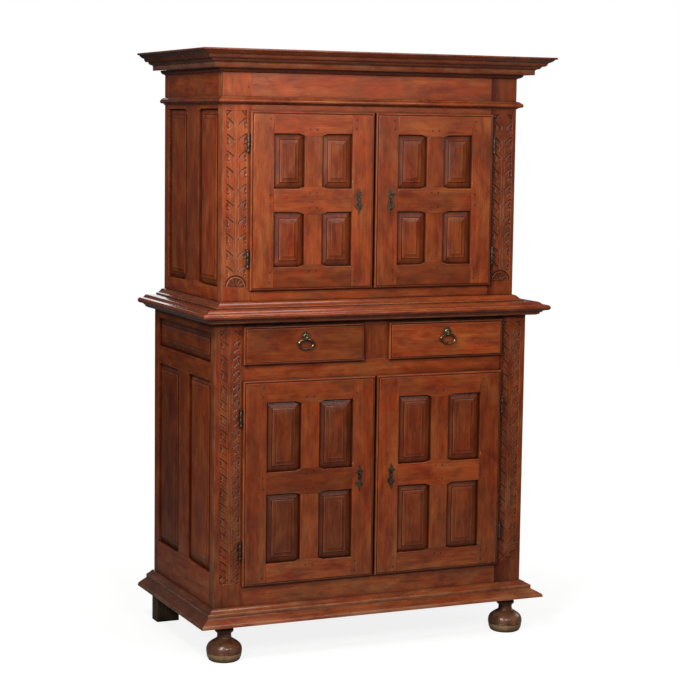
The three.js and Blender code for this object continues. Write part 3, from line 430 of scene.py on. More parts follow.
def loft(rings, along, wear=None, closed=False, tone=None, dirt=None):
    size = len(rings[0])
    count = len(rings)
    points = np.concatenate([np.asarray(ring, float) for ring in rings])
    faces = []
    for r in range(count if closed else count - 1):
        here, there = r * size, (r + 1) % count * size
        for i in range(size):
            j = (i + 1) % size
            faces.append((here + i, here + j, there + j, there + i))
    if not closed:
        faces.append(tuple(reversed(range(size))))
        faces.append(tuple(range((count - 1) * size, count * size)))
    wear, dirt = (spread(values, count, size) for values in (wear, dirt))
    return lump(points, faces_out(points, faces), along, wear, dirt, tone)


def settled(name, mesh, body, finish, stands_for=()):
    """A mesh made into a piece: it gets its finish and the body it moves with."""
    mesh.materials.clear()
    mesh.materials.append(finish)
    made = added(name, mesh)
    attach(made, body)
    if stands_for:
        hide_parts(*stands_for)
    return made


def piece(name, lumps, body, finish, stands_for=(), smooth_under=SMOOTH_UNDER):
    points = np.concatenate([part["points"] for part in lumps])
    faces = []
    start = 0
    for part in lumps:
        faces += [tuple(i + start for i in face) for face in part["faces"]]
        start += len(part["points"])
    mesh = bpy.data.meshes.new(name)
    mesh.from_pydata(points.tolist(), [], faces)
    grain = mesh.attributes.new("grain", "FLOAT_VECTOR", "POINT")
    grain.data.foreach_set("vector", np.concatenate([part["grain"] for part in lumps]).ravel())
    for key in ("tone", "wear", "dirt"):
        made = mesh.attributes.new(key, "FLOAT", "POINT")
        made.data.foreach_set("value", np.concatenate([part[key] for part in lumps]))
    mesh.shade_smooth()
    mesh.set_sharp_from_angle(angle=smooth_under)
    return settled(name, mesh, body, finish, stands_for)


print("lofts are smooth where faces meet under", round(math.degrees(SMOOTH_UNDER)), "degrees")

# %% [markdown]
# ## Working faces
# A joiner works on one face at a time. Here a face has u across it, d into the wood and w upwards,
# so one set of functions makes the boards of the front and of both sides.

# %% Faces of the two cases


class Face:
    def __init__(self, origin, across, inward):
        self.origin = np.array(origin, float)
        self.rows = np.array([across, inward, (0, 0, 1)], float)
        self.along_u = int(np.argmax(np.abs(self.rows[0])))

    def place(self, local):
        return self.origin + np.asarray(local, float) @ self.rows


def case_faces(front_node, back_node):
    low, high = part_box(front_node)
    back_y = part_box(back_node)[1].y
    return {
        "front": Face((0, low.y, 0), (1, 0, 0), (0, 1, 0)),
        "right": Face((high.x, low.y, 0), (0, 1, 0), (-1, 0, 0)),
        "left": Face((low.x, back_y, 0), (0, -1, 0), (1, 0, 0)),
        "half": high.x,
        "front_y": low.y,
        "back_y": back_y,
        "foot": low.z,
        "top": high.z,
        "depth": back_y - low.y,
    }


lower = case_faces("lower_front_frame", "lower_back")
upper = case_faces("upper_front_frame", "upper_back")
print("lower case", [round(lower[k], 4) for k in ("half", "depth", "foot", "top")])
print("upper case", [round(upper[k], 4) for k in ("half", "depth", "foot", "top")])

# %% [markdown]
# ## Boards with softened arrises
# No edge on old furniture is a true corner: a plane takes it off, and two centuries of dusting round
# it. A board is lofted through a few rings that step in by a fraction of the arris, and the last
# ring, just inside the edge, lets the wear fade over the flat. Where two boards meet in a joint no
# hand reaches the edge, so there it stays tight and unworn, and the joint reads as a fine dark line.

# %% Board
ARRIS = 1.2 * MM
TIGHT = 0.25 * MM
WEAR_FADE = 2.5 * MM
NEARLY_STRAIGHT = 0.05


def inset(outline, amounts):
    """The outline moved inwards, each edge by its own amount (edge i starts at point i)."""
    points = np.asarray(outline, float)
    along = np.roll(points, -1, 0) - points
    along /= np.linalg.norm(along, axis=1)[:, None]
    normals = np.stack([-along[:, 1], along[:, 0]], 1)
    amounts = np.broadcast_to(amounts, len(points))
    moved = []
    for i, point in enumerate(points):
        sides = normals[[i - 1, i]]
        pair = amounts[[i - 1, i]]
        if abs(np.linalg.det(sides)) < NEARLY_STRAIGHT:
            moved.append(point + sides[1] * pair.max())
        else:
            moved.append(point + np.linalg.solve(sides, pair))
    return np.array(moved)


def board(face, outline, front, back, along_w, arris=ARRIS, tone=None, joints=()):
    """A flat board. joints lists the edges, by number, that meet another board."""
    count = len(outline)
    edge = np.array([TIGHT if i in joints else arris for i in range(count)])
    free = np.array([0.0 if i in joints or (i - 1) % count in joints else 1.0 for i in range(count)])
    steps = [
        (0.0, back, 0.0),
        (0.0, front + arris * 3, 0.0),
        (0.0, front + arris, 0.8),
        (0.3, front + arris * 0.3, 1.0),
        (1.0, front, 0.8),
    ]
    rings = []
    wear = []
    for share, depth, rubbed in steps:
        rings.append(face.place([(u, depth, w) for u, w in inset(outline, edge * share)]))
        wear.append(free * rubbed)
    rings.append(face.place([(u, front, w) for u, w in inset(outline, arris + WEAR_FADE)]))
    wear.append(free * 0)
    return loft(rings, Z if along_w else face.along_u, wear=wear, tone=tone)


def oblong(u0, u1, w0, w1):
    return [(u0, w0), (u1, w0), (u1, w1), (u0, w1)]


SHOULDER_RUN = 20 * MM
SHOULDER_DROP = 7 * MM
EASING = 2.5 * MM


def rail_outline(u0, u1, w0, w1, muntin, below, above):
    """A rail with a shoulder at the muntin: its outline and the numbers of the edges in joints."""
    m0, m1 = muntin
    run, drop = SHOULDER_RUN, SHOULDER_DROP
    under = [(m0 - run, w0), (m0, w0 - drop), (m1, w0 - drop), (m1 + run, w0)] if below else []
    over = [(m1 + run, w1), (m1, w1 + drop), (m0, w1 + drop), (m0 - run, w1)] if above else []
    outline = [(u0, w0), *under, (u1, w0), (u1, w1), *over, (u0, w1)]
    joints = []
    for i, (here, there) in enumerate(zip(outline, outline[1:] + outline[:1])):
        upright = here[0] == there[0]
        at_muntin = here[1] == there[1] and here[1] not in (w0, w1)
        if upright or at_muntin:
            joints.append(i)
    return outline, joints


def stile_outline(u0, u1, w0, w1, joined, inner):
    """A stile that meets rails over the joined spans of its inner edge, on the side that inner gives."""
    stops = {w0, w1}
    for low, high in joined:
        stops |= {w for w in (low - EASING, low, high, high + EASING) if w0 < w < w1}
    up = sorted(stops)
    middles = [(a + b) / 2 for a, b in zip(up, up[1:])]
    if inner > 0:
        outline = [(u0, w0), *[(u1, w) for w in up], (u0, w1)]
        first = 1
    else:
        outline = [(u0, w0), (u1, w0), (u1, w1), *[(u0, w) for w in up[:0:-1]]]
        first = 3
        middles.reverse()
    joints = []
    for i, middle in enumerate(middles):
        if any(low - EASING < middle < high + EASING for low, high in joined):
            joints.append(first + i)
    return outline, joints


print("arris", ARRIS, "shoulder", (SHOULDER_RUN, SHOULDER_DROP))

# %% [markdown]
# ## Raised and fielded panels
# Each panel is one board, planed to two bevels with a small step between them, so that its centre
# stands almost flush with the frame. Its rings are rectangles at the profile's insets and depths.
# Narrow rings on both sides of each corner hold a line of wear above it and a line of painted shade
# below it, the edge of the opening and the outer bevel are darkened with painted shade and old wax,
# and the facets are not smoothed into each other, because a plane leaves them flat.

# %% Panel
PANEL_SETBACK = 12 * MM
TONGUE = 6 * MM
TONGUE_THICK = 8 * MM
OUTER_BEVEL = (22 * MM, 5.5 * MM)
PANEL_STEP = 2 * MM
INNER_BEVEL = (14 * MM, 2.5 * MM)
CRISP = 0.5 * MM
LINE = 2 * MM


def panel_profile():
    """Inset, depth, wear, and dirt with painted shade of each ring, from the back of the tongue to the
    field.
    """
    step_in = TONGUE + OUTER_BEVEL[0]
    step_low = PANEL_SETBACK - OUTER_BEVEL[1]
    step_high = step_low - PANEL_STEP
    field_in = step_in + INNER_BEVEL[0]
    field = step_high - INNER_BEVEL[1]
    # Painted shade as well as old wax: the dark values round the opening, on the bevel and under the step.
    return [
        (0, PANEL_SETBACK + TONGUE_THICK, 0, 0),
        (0, PANEL_SETBACK, 0, 0.9),
        (TONGUE, PANEL_SETBACK, 0, 0.9),
        (TONGUE + LINE * 2, PANEL_SETBACK - LINE * 0.5, 0, 0.3),
        (step_in - LINE * 1.6, step_low + LINE * 0.4, 0, 0.15),
        (step_in - LINE * 0.8, step_low + LINE * 0.2, 0, 1),
        (step_in, step_low, 0, 1),
        (step_in, step_high + CRISP, 0.3, 0.6),
        (step_in + CRISP, step_high, 1, 0),
        (step_in + LINE, step_high - LINE * 0.18, 0.8, 0),
        (step_in + LINE * 1.8, step_high - LINE * 0.32, 0, 0.1),
        (field_in - LINE * 1.4, field + LINE * 0.25, 0, 0.2),
        (field_in - LINE * 0.7, field + LINE * 0.12, 0, 0.85),
        (field_in, field, 0.6, 0.3),
        (field_in + LINE * 0.7, field, 0.7, 0),
        (field_in + LINE * 1.4, field, 0, 0),
    ]


def panel(face, opening, front, tone=None):
    u0, u1, w0, w1 = opening
    insets, depths, wear, dirt = zip(*panel_profile())
    rings = []
    for amount, depth in zip(insets, depths):
        i = amount - TONGUE
        shape = oblong(u0 + i, u1 - i, w0 + i, w1 - i)
        rings.append(face.place([(u, front + depth, w) for u, w in shape]))
    return loft(rings, Z, wear=wear, tone=tone, dirt=dirt)


print("panel rings", len(panel_profile()))

# %% [markdown]
# ## Beaded lips
# Doors and drawers lap over the case, and their edge is worked to a bead with a quirk behind it,
# painted a little darker. Each side is its own strip, cut at 45 degrees at both ends, so that its
# grain follows it. The lower and right-hand strips are painted as the side in shade: they keep
# little of the pale wear and take painted shade on the bead, most of all where a right-hand door
# shuts beside its post.

# %% Lip
PROUD = 13 * MM
BEAD = 8 * MM
QUIRK = 1.2 * MM
QUIRK_DEPTH = 0.8 * MM
BEAD_DROP = 1 * MM
SEAT = 0.3 * MM
BEAD_STEPS = 8
BEAD_SHARES = [i / BEAD_STEPS for i in range(BEAD_STEPS + 1)]


def lip_profile():
    radius = BEAD / 2
    centre = -PROUD + BEAD_DROP + radius
    half_turn = [math.pi * share for share in BEAD_SHARES]
    bead = [(radius - radius * math.cos(t), centre - radius * math.sin(t)) for t in half_turn]
    bottom = -PROUD + QUIRK_DEPTH
    return [(0, -SEAT), *bead, (BEAD + QUIRK * 0.2, bottom), (BEAD + QUIRK, bottom), (BEAD + QUIRK, -SEAT)]


def lip(face, u0, u1, w0, w1, shaded=0.0):
    """The four strips of a lip. shaded is the least painted shade on the right-hand one."""
    corners = [((u0, w0), (1, 1)), ((u1, w0), (-1, 1)), ((u1, w1), (-1, -1)), ((u0, w1), (1, -1))]
    profile = lip_profile()
    wear = np.array([0.0, *[0.7 * math.sin(math.pi * share) ** 2 for share in BEAD_SHARES], 0.0, 0.0, 0.0])
    dirt = np.array([1.0, *[min(0.95, 1.25 - share * 1.2) for share in BEAD_SHARES], 0.5, 0.5, 0.5])
    quirk = np.array([0.0] * (BEAD_STEPS + 2) + [0.2] * 3)
    strips = []
    tone = dice.uniform(-0.6, 0.2)
    for k in range(4):
        stations = []
        for (pu, pw), (du, dw) in (corners[k], corners[(k + 1) % 4]):
            stations.append(face.place([(pu + du * o, d, pw + dw * o) for o, d in profile]))
        along = face.along_u if k % 2 == 0 else Z
        # Painted shade: the lower and right-hand strips keep a fifth of the wear and darken on the bead.
        rubbed, painted_shade = (wear * 0.2, dirt) if k < 2 else (wear, quirk)
        if k == 1:
            painted_shade = np.maximum(painted_shade, shaded)
        strips.append(loft(stations, along, wear=rubbed, tone=tone, dirt=painted_shade))
    return strips


print("lip section", len(lip_profile()), "points")

# %% [markdown]
# ## Four-panel doors
# A door is two stiles from top to bottom, three rails between them, and two short muntins. The
# rails are cut with a small slanted shoulder on each side of the muntin, the one quirk of shape
# that gives this cupboard its character, so it is in the outline of the rail itself. The boards
# came from different planks, so a small table makes some of them darker or lighter.

# %% Doors
FRONT_INSIDE = 15 * MM
LIP_WIDTH = BEAD + QUIRK
HINGE_OFFSET = 7 * MM
MEETING_GAP = 6 * MM
HANDS = ("left", "right")
DOOR_SIZES = {
    "upper": {"case": upper, "stile": 84 * MM, "muntin": 65 * MM, "rails": (79 * MM, 79 * MM, 74 * MM)},
    "lower": {"case": lower, "stile": 85 * MM, "muntin": 67 * MM, "rails": (75 * MM, 76 * MM, 76 * MM)},
}
DOORS = [(level, hand) for level in DOOR_SIZES for hand in HANDS]
PEG_RADIUS = 3.6 * MM
PEG_STEPS = ((1, 2 * MM), (1, 0), (0.8, -0.25 * MM), (0.3, -0.25 * MM))
PEG_SIDES = 12
PEG_INSET, PEG_HALF_PITCH = 14 * MM, 13 * MM
BOTTOM_PEGS, MIDDLE_PEGS, TOP_PEGS = (0.35, 0.78), (0.25, 0.75), (0.75, 0.35)


def peg(face, u, w, front):
    size = PEG_RADIUS * dice.uniform(0.8, 1.1)
    rings = []
    for share, depth in PEG_STEPS:
        ring = [(u + a, front + depth, w + b) for a, b in circle(size * share, PEG_SIDES)]
        rings.append(face.place(ring))
    return loft(rings, Y, tone=-1)


def joint_place(name):
    return next(joint["pos_m"] for joint in frame["joints"] if joint["name"] == name)


def door_rectangle(level, hand):
    side = -1 if hand == "left" else 1
    outer = joint_place(f"{level}_{hand}_door_hinge")[0] - side * HINGE_OFFSET
    inner = side * MEETING_GAP / 2
    low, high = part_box(f"{level}_{hand}_door_frame")
    return min(outer, inner), max(outer, inner), low.z, high.z


DARK = -0.8
LIP_SHADE = {"left": 0.0, "right": 0.65}
BOARD_TONES = {
    "upper_left": {"left": 0.3, "right": 0.7, "top": 0.5, "bottom": -0.9, "panels": 0.3},
    "upper_right": {
        "left": -0.2, "right": 0.2, "bottom": -1.2, "middle": -0.5, "muntin": -0.5, "panels": 0.2,
    },
    "lower_left": {"left": -0.9, "middle": -1.5, "top": -0.6, "bottom": 0.3, "panels": -1.1},
    "lower_right": {"middle": 0.8, "right": -0.6, "bottom": 0, "panels": -0.1},
}


def door(level, hand):
    size = DOOR_SIZES[level]
    face = size["case"]["front"]
    u0, u1, w0, w1 = door_rectangle(level, hand)
    stile, muntin = size["stile"], size["muntin"]
    bottom, middle, top = size["rails"]
    span = (w1 - w0 - bottom - middle - top) / 2
    mid_low = w0 + bottom + span
    a, b = u0 + stile, u1 - stile
    m0, m1 = (a + b - muntin) / 2, (a + b + muntin) / 2
    e = LIP_WIDTH
    rails = [(w0 + e, w0 + bottom), (mid_low, mid_low + middle), (w1 - top, w1 - e)]
    flush, rear = -PROUD, FRONT_INSIDE
    boards = []
    tones = BOARD_TONES[f"{level}_{hand}"]
    for key, low, high, inner in (("left", u0 + e, a, 1), ("right", b, u1 - e, -1)):
        outline, joints = stile_outline(low, high, w0 + e, w1 - e, rails, inner)
        boards.append(board(face, outline, flush, rear, True, tone=tones.get(key), joints=joints))
    for k, key in enumerate(("bottom", "middle", "top")):
        outline, joints = rail_outline(a, b, *rails[k], (m0, m1), k > 0, k < 2)
        boards.append(board(face, outline, flush, rear, False, tone=tones.get(key), joints=joints))
    openings = []
    for low in (w0 + bottom, mid_low + middle):
        outline = oblong(m0, m1, low + SHOULDER_DROP, low + span - SHOULDER_DROP)
        boards.append(board(face, outline, flush, rear, True, tone=tones.get("muntin"), joints=(0, 2)))
        openings += [("left", (a, m0, low, low + span)), ("right", (m1, b, low, low + span))]
    heights = [w0 + bottom * share for share in BOTTOM_PEGS]
    heights += [mid_low + middle * share for share in MIDDLE_PEGS]
    heights += [w1 - top * share for share in TOP_PEGS]
    pegs = [peg(face, u, w, flush) for u in (a - PEG_INSET, b + PEG_INSET) for w in heights]
    middle_u = (m0 + m1) / 2
    heights = [w0 + bottom - PEG_INSET, mid_low + PEG_INSET]
    heights += [mid_low + middle - PEG_INSET, w1 - top + PEG_INSET]
    for w in heights:
        pegs += [peg(face, middle_u + shift, w, flush) for shift in (-PEG_HALF_PITCH, PEG_HALF_PITCH)]
    name = f"{level}_{hand}_door"
    piece(f"{name}_boards", boards, name, front_wood, [f"{name}_frame"])
    strips = lip(face, u0, u1, w0, w1, LIP_SHADE[hand])
    piece(f"{name}_lip", strips, name, front_wood)
    piece(f"{name}_pegs", pegs, name, peg_wood)
    rows = ("bottom", "bottom", "top", "top")
    for row, (column, opening) in zip(rows, openings):
        cad = f"{name}_panel_{row}_{column}"
        field = panel(face, opening, flush, tones.get("panels"))
        piece(cad + "_fielded", [field], name, panel_wood, [cad], PLANED)
    return u0, u1, w0, w1


for level, hand in DOORS:
    print(level, hand, "door", [round(v, 4) for v in door(level, hand)])

# %% [markdown]
# ## Rails of the fronts
# The front of each case is two posts joined by rails. The posts come later, with their carving.

# %% Rails of the fronts
RAIL_DEPTH = 30 * MM
POST_DEPTH = 43.5 * MM
UPPER_POST = 102 * MM
LOWER_POST = 104 * MM
DIVIDER = 106 * MM
LOWER_RAILS = {"bottom": (0, 99 * MM), "drawer": (792 * MM, 857 * MM), "top": (976 * MM, 991 * MM)}
UPPER_RAILS = {"bottom": (0, 41.5 * MM), "frieze": (631.5 * MM, 818.5 * MM)}
RAIL_TONES = {"frieze": 0.9}
FRIEZE_PEGS = [(-463.7 * MM, 1937 * MM), (469.5 * MM, 1937 * MM)]


def front_rails(case, post, rails):
    inner = case["half"] - post
    made = []
    for key, (low, high) in rails.items():
        outline = oblong(-inner, inner, case["foot"] + low, case["foot"] + high)
        tone = RAIL_TONES.get(key)
        made.append(board(case["front"], outline, 0, RAIL_DEPTH, False, tone=tone, joints=(1, 3)))
    return made


lower_boards = front_rails(lower, LOWER_POST, LOWER_RAILS)
divider_low = lower["foot"] + LOWER_RAILS["drawer"][1]
divider_high = lower["foot"] + LOWER_RAILS["top"][0]
divider = oblong(-DIVIDER / 2, DIVIDER / 2, divider_low, divider_high)
lower_boards.append(board(lower["front"], divider, 0, RAIL_DEPTH, True, tone=DARK, joints=(0, 2)))
upper_boards = front_rails(upper, UPPER_POST, UPPER_RAILS)
frieze_pegs = [peg(upper["front"], u, w, 0) for u, w in FRIEZE_PEGS]
piece("frieze_pegs", frieze_pegs, "case", peg_wood)
piece("lower_rails", lower_boards, "case", front_wood)
piece("upper_rails", upper_boards, "case", front_wood)
print("front boards", len(lower_boards), len(upper_boards))

# %% [markdown]
# ## Nicks and a crack
# A few chips show bare wood at the panels' corners and on the doors, and one short crack runs beside
# the left peg of the frieze. Each is a sliver with an uneven outline, laid a hair above its board.

# %% Nicks
SLIVER = 0.3 * MM
SLIVER_POINTS = 9
CRACK_PLACE, CRACK_SIZE = (-440 * MM, 1945 * MM), (26 * MM, 2.4 * MM)
NICKS = [
    ("upper_left", -85 * MM, 1624 * MM, (3 * MM, 7 * MM)),
    ("lower_left", -86 * MM, 655 * MM, (3 * MM, 9 * MM)),
    ("lower_right", 412 * MM, 662 * MM, (3 * MM, 11 * MM)),
    ("lower_right", 410 * MM, 338 * MM, (5 * MM, 4 * MM)),
    ("upper_right", 377 * MM, 1617 * MM, (3.5 * MM, 7 * MM)),
    ("upper_right", 378 * MM, 1424 * MM, (2.5 * MM, 4 * MM)),
    ("upper_right", 377 * MM, 1353 * MM, (3 * MM, 6 * MM)),
    ("upper_right", 17 * MM, 1846 * MM, (6 * MM, 2.5 * MM)),
]


def sliver(face, u, w, depth, size):
    outline = []
    for turn in turns(SLIVER_POINTS):
        reach = dice.uniform(0.55, 1)
        outline.append((u + size[0] / 2 * reach * math.cos(turn), w + size[1] / 2 * reach * math.sin(turn)))
    rings = []
    for share, lift in ((1, -2 * MM), (1, 0), (0.6, SLIVER)):
        ring = [(u + (a - u) * share, depth - lift, w + (b - w) * share) for a, b in outline]
        rings.append(face.place(ring))
    return loft(rings, Z)


for i, (door_name, u, w, size) in enumerate(NICKS):
    face = DOOR_SIZES[door_name.split("_")[0]]["case"]["front"]
    nick = sliver(face, u, w, -PROUD, size)
    piece(f"nick_{i + 1}", [nick], f"{door_name}_door", chipped_wood)
crack = sliver(upper["front"], *CRACK_PLACE, 0, CRACK_SIZE)
piece("frieze_crack", [crack], "case", crack_wood)
print("nicks", len(NICKS))

# %% [markdown]
# ## Panelled sides
# Each side is a frame of rails, a muntin and one stile round its panels. Its front stile is the edge
# of the post, so only the rear one is made here. The lower side has a third rail and a low panel.

# %% Panelled sides
SIDE_THICK = 28 * MM
SIDE_PANEL_TONES = {"upper": (0, 0.8), "lower": (-1.2, 0.3, -0.8)}
SIDE_RAIL_TONES = (0.8, -0.2, 0)
SIDES = {
    "upper": {"case": upper, "muntin": 121 * MM, "low": 46.5 * MM, "high": 643.5 * MM},
    "lower": {"case": lower, "muntin": 101 * MM, "low": 141 * MM, "high": 797 * MM},
}
LOWER_SIDE_MIDDLE = 62 * MM
LOWER_SIDE_CAP = 32 * MM


def side(level, hand):
    size = SIDES[level]
    case = size["case"]
    face = case[hand]
    foot, top, depth = case["foot"], case["top"], case["depth"]
    a, b = POST_DEPTH, depth - POST_DEPTH
    m0, m1 = (depth - size["muntin"]) / 2, (depth + size["muntin"]) / 2
    z0, z1 = foot + size["low"], foot + size["high"]
    rails = [(foot, z0), (z1, top)]
    if level == "lower":
        rails = [(foot, z0), (z1, z1 + LOWER_SIDE_MIDDLE), (top - LOWER_SIDE_CAP, top)]
    ends = (b, depth, -1) if hand == "right" else (0, a, 1)
    outline, joints = stile_outline(*ends[:2], foot, top, rails, ends[2])
    boards = [board(face, outline, 0, SIDE_THICK, True, joints=joints)]
    for k, (low, high) in enumerate(rails):
        outline, joints = rail_outline(a, b, low, high, (m0, m1), k == 1, k == 0)
        tone = SIDE_RAIL_TONES[k]
        boards.append(board(face, outline, 0, SIDE_THICK, False, tone=tone, joints=joints))
    outline = oblong(m0, m1, z0 + SHOULDER_DROP, z1 - SHOULDER_DROP)
    boards.append(board(face, outline, 0, SIDE_THICK, True, joints=(0, 2)))
    openings = [(a, m0, z0, z1), (m1, b, z0, z1)]
    if level == "lower":
        openings.append((a, b, rails[1][1], rails[2][0]))
    tones = SIDE_PANEL_TONES[level]
    panels = [panel(face, opening, 0, tone) for opening, tone in zip(openings, tones)]
    cad = f"{level}_{hand}_side"
    piece(cad + "_boards", boards, "case", side_wood, [cad])
    piece(cad + "_panels", panels, "case", side_wood, smooth_under=PLANED)
    return len(boards), len(panels)


for level, hand in DOORS:
    print(level, hand, "side boards and panels", side(level, hand))

# %% [markdown]
# ## Mouldings
# A moulding is planed along its whole length and then mitred at the corners. Its section is written
# as shares of its reach and height: two numbers go straight to a point, and four curve there by way
# of the first two. Corners that a plane leaves sharp are then rounded a little and marked as worn,
# and whatever faces down gets painted shade. The strips on the sides are painted darker than the
# front ones, as shade.

# %% Moulding helper
CURVE_STEPS = 8
SHARP_TURN = 0.5
MOULDING_ROUND = 1.2 * MM
# Painted shade: side strips are toned darker than the front ones, and faces that look down darken.
FRONT_TONE, SHADED_SIDE_TONE = 0.2, -1.3
UNDERSIDE_SHADE = 0.6


def section(shares, reach, height):
    points = [np.array(shares[0], float)]
    for step in shares[1:]:
        start, end = points[-1], np.array(step[-2:], float)
        if len(step) == 2:
            points.append(end)
            continue
        bend = np.array(step[:2], float)
        for i in range(1, CURVE_STEPS + 1):
            t = i / CURVE_STEPS
            points.append(start * (1 - t) ** 2 + bend * 2 * t * (1 - t) + end * t ** 2)
    return np.array(points) * (reach, height)


def rounded(points, radius):
    made, wear = [points[0]], [0.0]
    for before, here, after in zip(points, points[1:], points[2:]):
        back, ahead = before - here, after - here
        back_length, ahead_length = np.linalg.norm(back), np.linalg.norm(ahead)
        turn = np.cross(-back / back_length, ahead / ahead_length)
        if abs(turn) < SHARP_TURN:
            made.append(here)
            wear.append(0.0)
            continue
        r = min(radius, back_length * 0.4, ahead_length * 0.4)
        p, q = here + back / back_length * r, here + ahead / ahead_length * r
        made += [p, (p + q + 2 * here) / 4, q]
        wear += [0.5, 1.0, 0.5] if turn > 0 else [0.0, 0.0, 0.0]
    return made + [points[-1]], wear + [0.0]


def underside(outline):
    """How much each point faces down, from 0 to 1."""
    steps = np.diff(np.array(outline), axis=0)
    upwards = 1 if outline[-1][1] > outline[0][1] else -1
    down = np.clip(upwards * steps[:, 0] / np.maximum(np.linalg.norm(steps, axis=1), 1e-9), 0, 1)
    return [down[0], *np.maximum(down[1:], down[:-1]), down[-1]]


def moulding(case, shares, reach, height, foot, deep, side_shade=0.0):
    outline, wear = rounded(section(shares, reach, height), MOULDING_ROUND)
    dirt = [0.0, *[UNDERSIDE_SHADE * share for share in underside(outline)], 0.0]
    outline = [np.array((-deep, outline[0][1]))] + outline + [np.array((-deep, outline[-1][1]))]
    wear = [0.0, *wear, 0.0]
    half, front, back = case["half"], case["front_y"], case["back_y"]
    corners = [
        lambda o: (-half - o, back),
        lambda o: (-half - o, front - o),
        lambda o: (half + o, front - o),
        lambda o: (half + o, back),
    ]
    strips = []
    for start, end, along, tone in ((0, 1, Y, SHADED_SIDE_TONE), (1, 2, X, FRONT_TONE), (2, 3, Y, SHADED_SIDE_TONE)):
        rings = [[(*corners[k](o), foot + z) for o, z in outline] for k in (start, end)]
        # Painted shade on the side strips, added to the shade under the faces that look down.
        painted_shade = dirt if along == X else np.maximum(dirt, side_shade)
        strips.append(loft(rings, along, wear=wear, dirt=painted_shade, tone=tone))
    return strips


print("curve steps", CURVE_STEPS)

# %% The five mouldings
CORNICE_SHARES = [
    (0, 1), (1, 1), (1, 0.915), (0.93, 0.9), (0.93, 0.88, 0.885, 0.83), (0.84, 0.77, 0.775, 0.75),
    (0.76, 0.72), (0.735, 0.6, 0.672, 0.585), (0.61, 0.585), (0.595, 0.49, 0.525, 0.465), (0.47, 0.445),
    (0.44, 0.41), (0.44, 0.2), (0.168, 0.2), (0.15, 0.06, 0.03, 0.03), (0, 0),
]
WAIST_SHARES = [
    (0, 0), (0.42, 0.06), (0.55, 0.13), (0.575, 0.25), (0.65, 0.27), (0.66, 0.38, 0.79, 0.4), (0.93, 0.44),
    (1.085, 0.62, 0.9, 0.79), (0.7, 0.8), (0.67, 0.82), (0.58, 0.96, 0.49, 1), (0, 1),
]
UPPER_BASE_SHARES = [
    (0, 0), (1, 0), (1, 0.22), (0.93, 0.26), (0.62, 0.36, 0.45, 0.72), (0.3, 0.95, 0.05, 1), (0, 1),
]
BASE_SHARES = [(0, 0), (1, 0), (0.955, 0.36), (0.72, 0.68, 0.5, 0.93), (0.48, 1), (0, 1)]
BASE_STRIP_SHARES = [
    (0, 0), (1, 0), (1, 0.44), (0.92, 0.5), (0.6, 0.62, 0.45, 0.8), (0.3, 0.97, 0.04, 1), (0, 1),
]
FRIEZE_SHARES = [
    (0, 0), (0.1, 0), (0.2, 0.1), (0.55, 0.2), (1.05, 0.2, 1, 0.5), (0.98, 0.7, 0.62, 0.8),
    (0.5, 0.9), (0.1, 1), (0, 1),
]
BASE_REACH, BASE_BOARD, STRIP_REACH, STRIP_HEIGHT = 64 * MM, 29 * MM, 30.5 * MM, 26 * MM
WAIST_REACH, UPPER_BASE_REACH, CORNICE_REACH, CORNICE_HEIGHT = 65.5 * MM, 31.5 * MM, 104 * MM, 76 * MM
FRIEZE_REACH = 18.5 * MM
TUCK = 60 * MM
BASE_SIDE_SHADE = 0.3


def slab(case, tuck, low, high):
    inner = case["half"] - tuck
    face = Face((0, case["front_y"] + tuck, 0), (1, 0, 0), (0, 1, 0))
    return board(face, oblong(-inner, inner, low, high), 0, case["depth"] - tuck, False)


total_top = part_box("cornice")[1].z
waist_low, waist_high = (corner.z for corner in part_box("waist_board"))
frieze_low, frieze_high = (corner.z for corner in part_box("frieze_moulding"))
foot_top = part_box("base")[0].z
base = moulding(lower, BASE_SHARES, BASE_REACH, BASE_BOARD, foot_top, TUCK, BASE_SIDE_SHADE)
base += moulding(lower, BASE_STRIP_SHARES, STRIP_REACH, STRIP_HEIGHT, lower["foot"], 0, BASE_SIDE_SHADE)
base.append(slab(lower, TUCK, foot_top, lower["foot"]))
waist = moulding(lower, WAIST_SHARES, WAIST_REACH, waist_high - waist_low, waist_low, TUCK)
waist.append(slab(lower, TUCK, waist_low, waist_high))
upper_base_height = upper["foot"] - waist_high
upper_base = moulding(upper, UPPER_BASE_SHARES, UPPER_BASE_REACH, upper_base_height, waist_high, TUCK)
upper_base.append(slab(upper, TUCK, waist_high, upper["foot"]))
frieze = moulding(upper, FRIEZE_SHARES, FRIEZE_REACH, frieze_high - frieze_low, frieze_low, 0)
cornice = moulding(upper, CORNICE_SHARES, CORNICE_REACH, CORNICE_HEIGHT, total_top - CORNICE_HEIGHT, 0)
cornice.append(slab(upper, 0, upper["top"], total_top))
for name, strips, finish, cad in (
    ("base_moulded", base, case_wood, "base"),
    ("waist_moulded", waist, case_wood, "waist_board"),
    ("upper_base_moulded", upper_base, case_wood, "upper_base_board"),
    ("frieze_moulded", frieze, case_wood, "frieze_moulding"),
    ("cornice_moulded", cornice, cornice_wood, "cornice"),
):
    piece(name, strips, "case", finish, [cad])
print("strips", len(base), len(waist), len(upper_base), len(frieze), len(cornice))

# %% [markdown]
# ## The carved posts
# The four posts carry a laurel stem with leaves that overlap upwards. On the real cupboard each leaf
# is set in with one sweep of a gouge and then hollowed away below that cut. A height field says the
# same thing: every point of a fine grid gets a depth from its place along the stem, so the leaves
# are real geometry and catch the light from any side. The repeat is a remainder, not a loop. A second
# cut hollows each leaf, short on the upper left post and nearly as long as the leaf on the others.

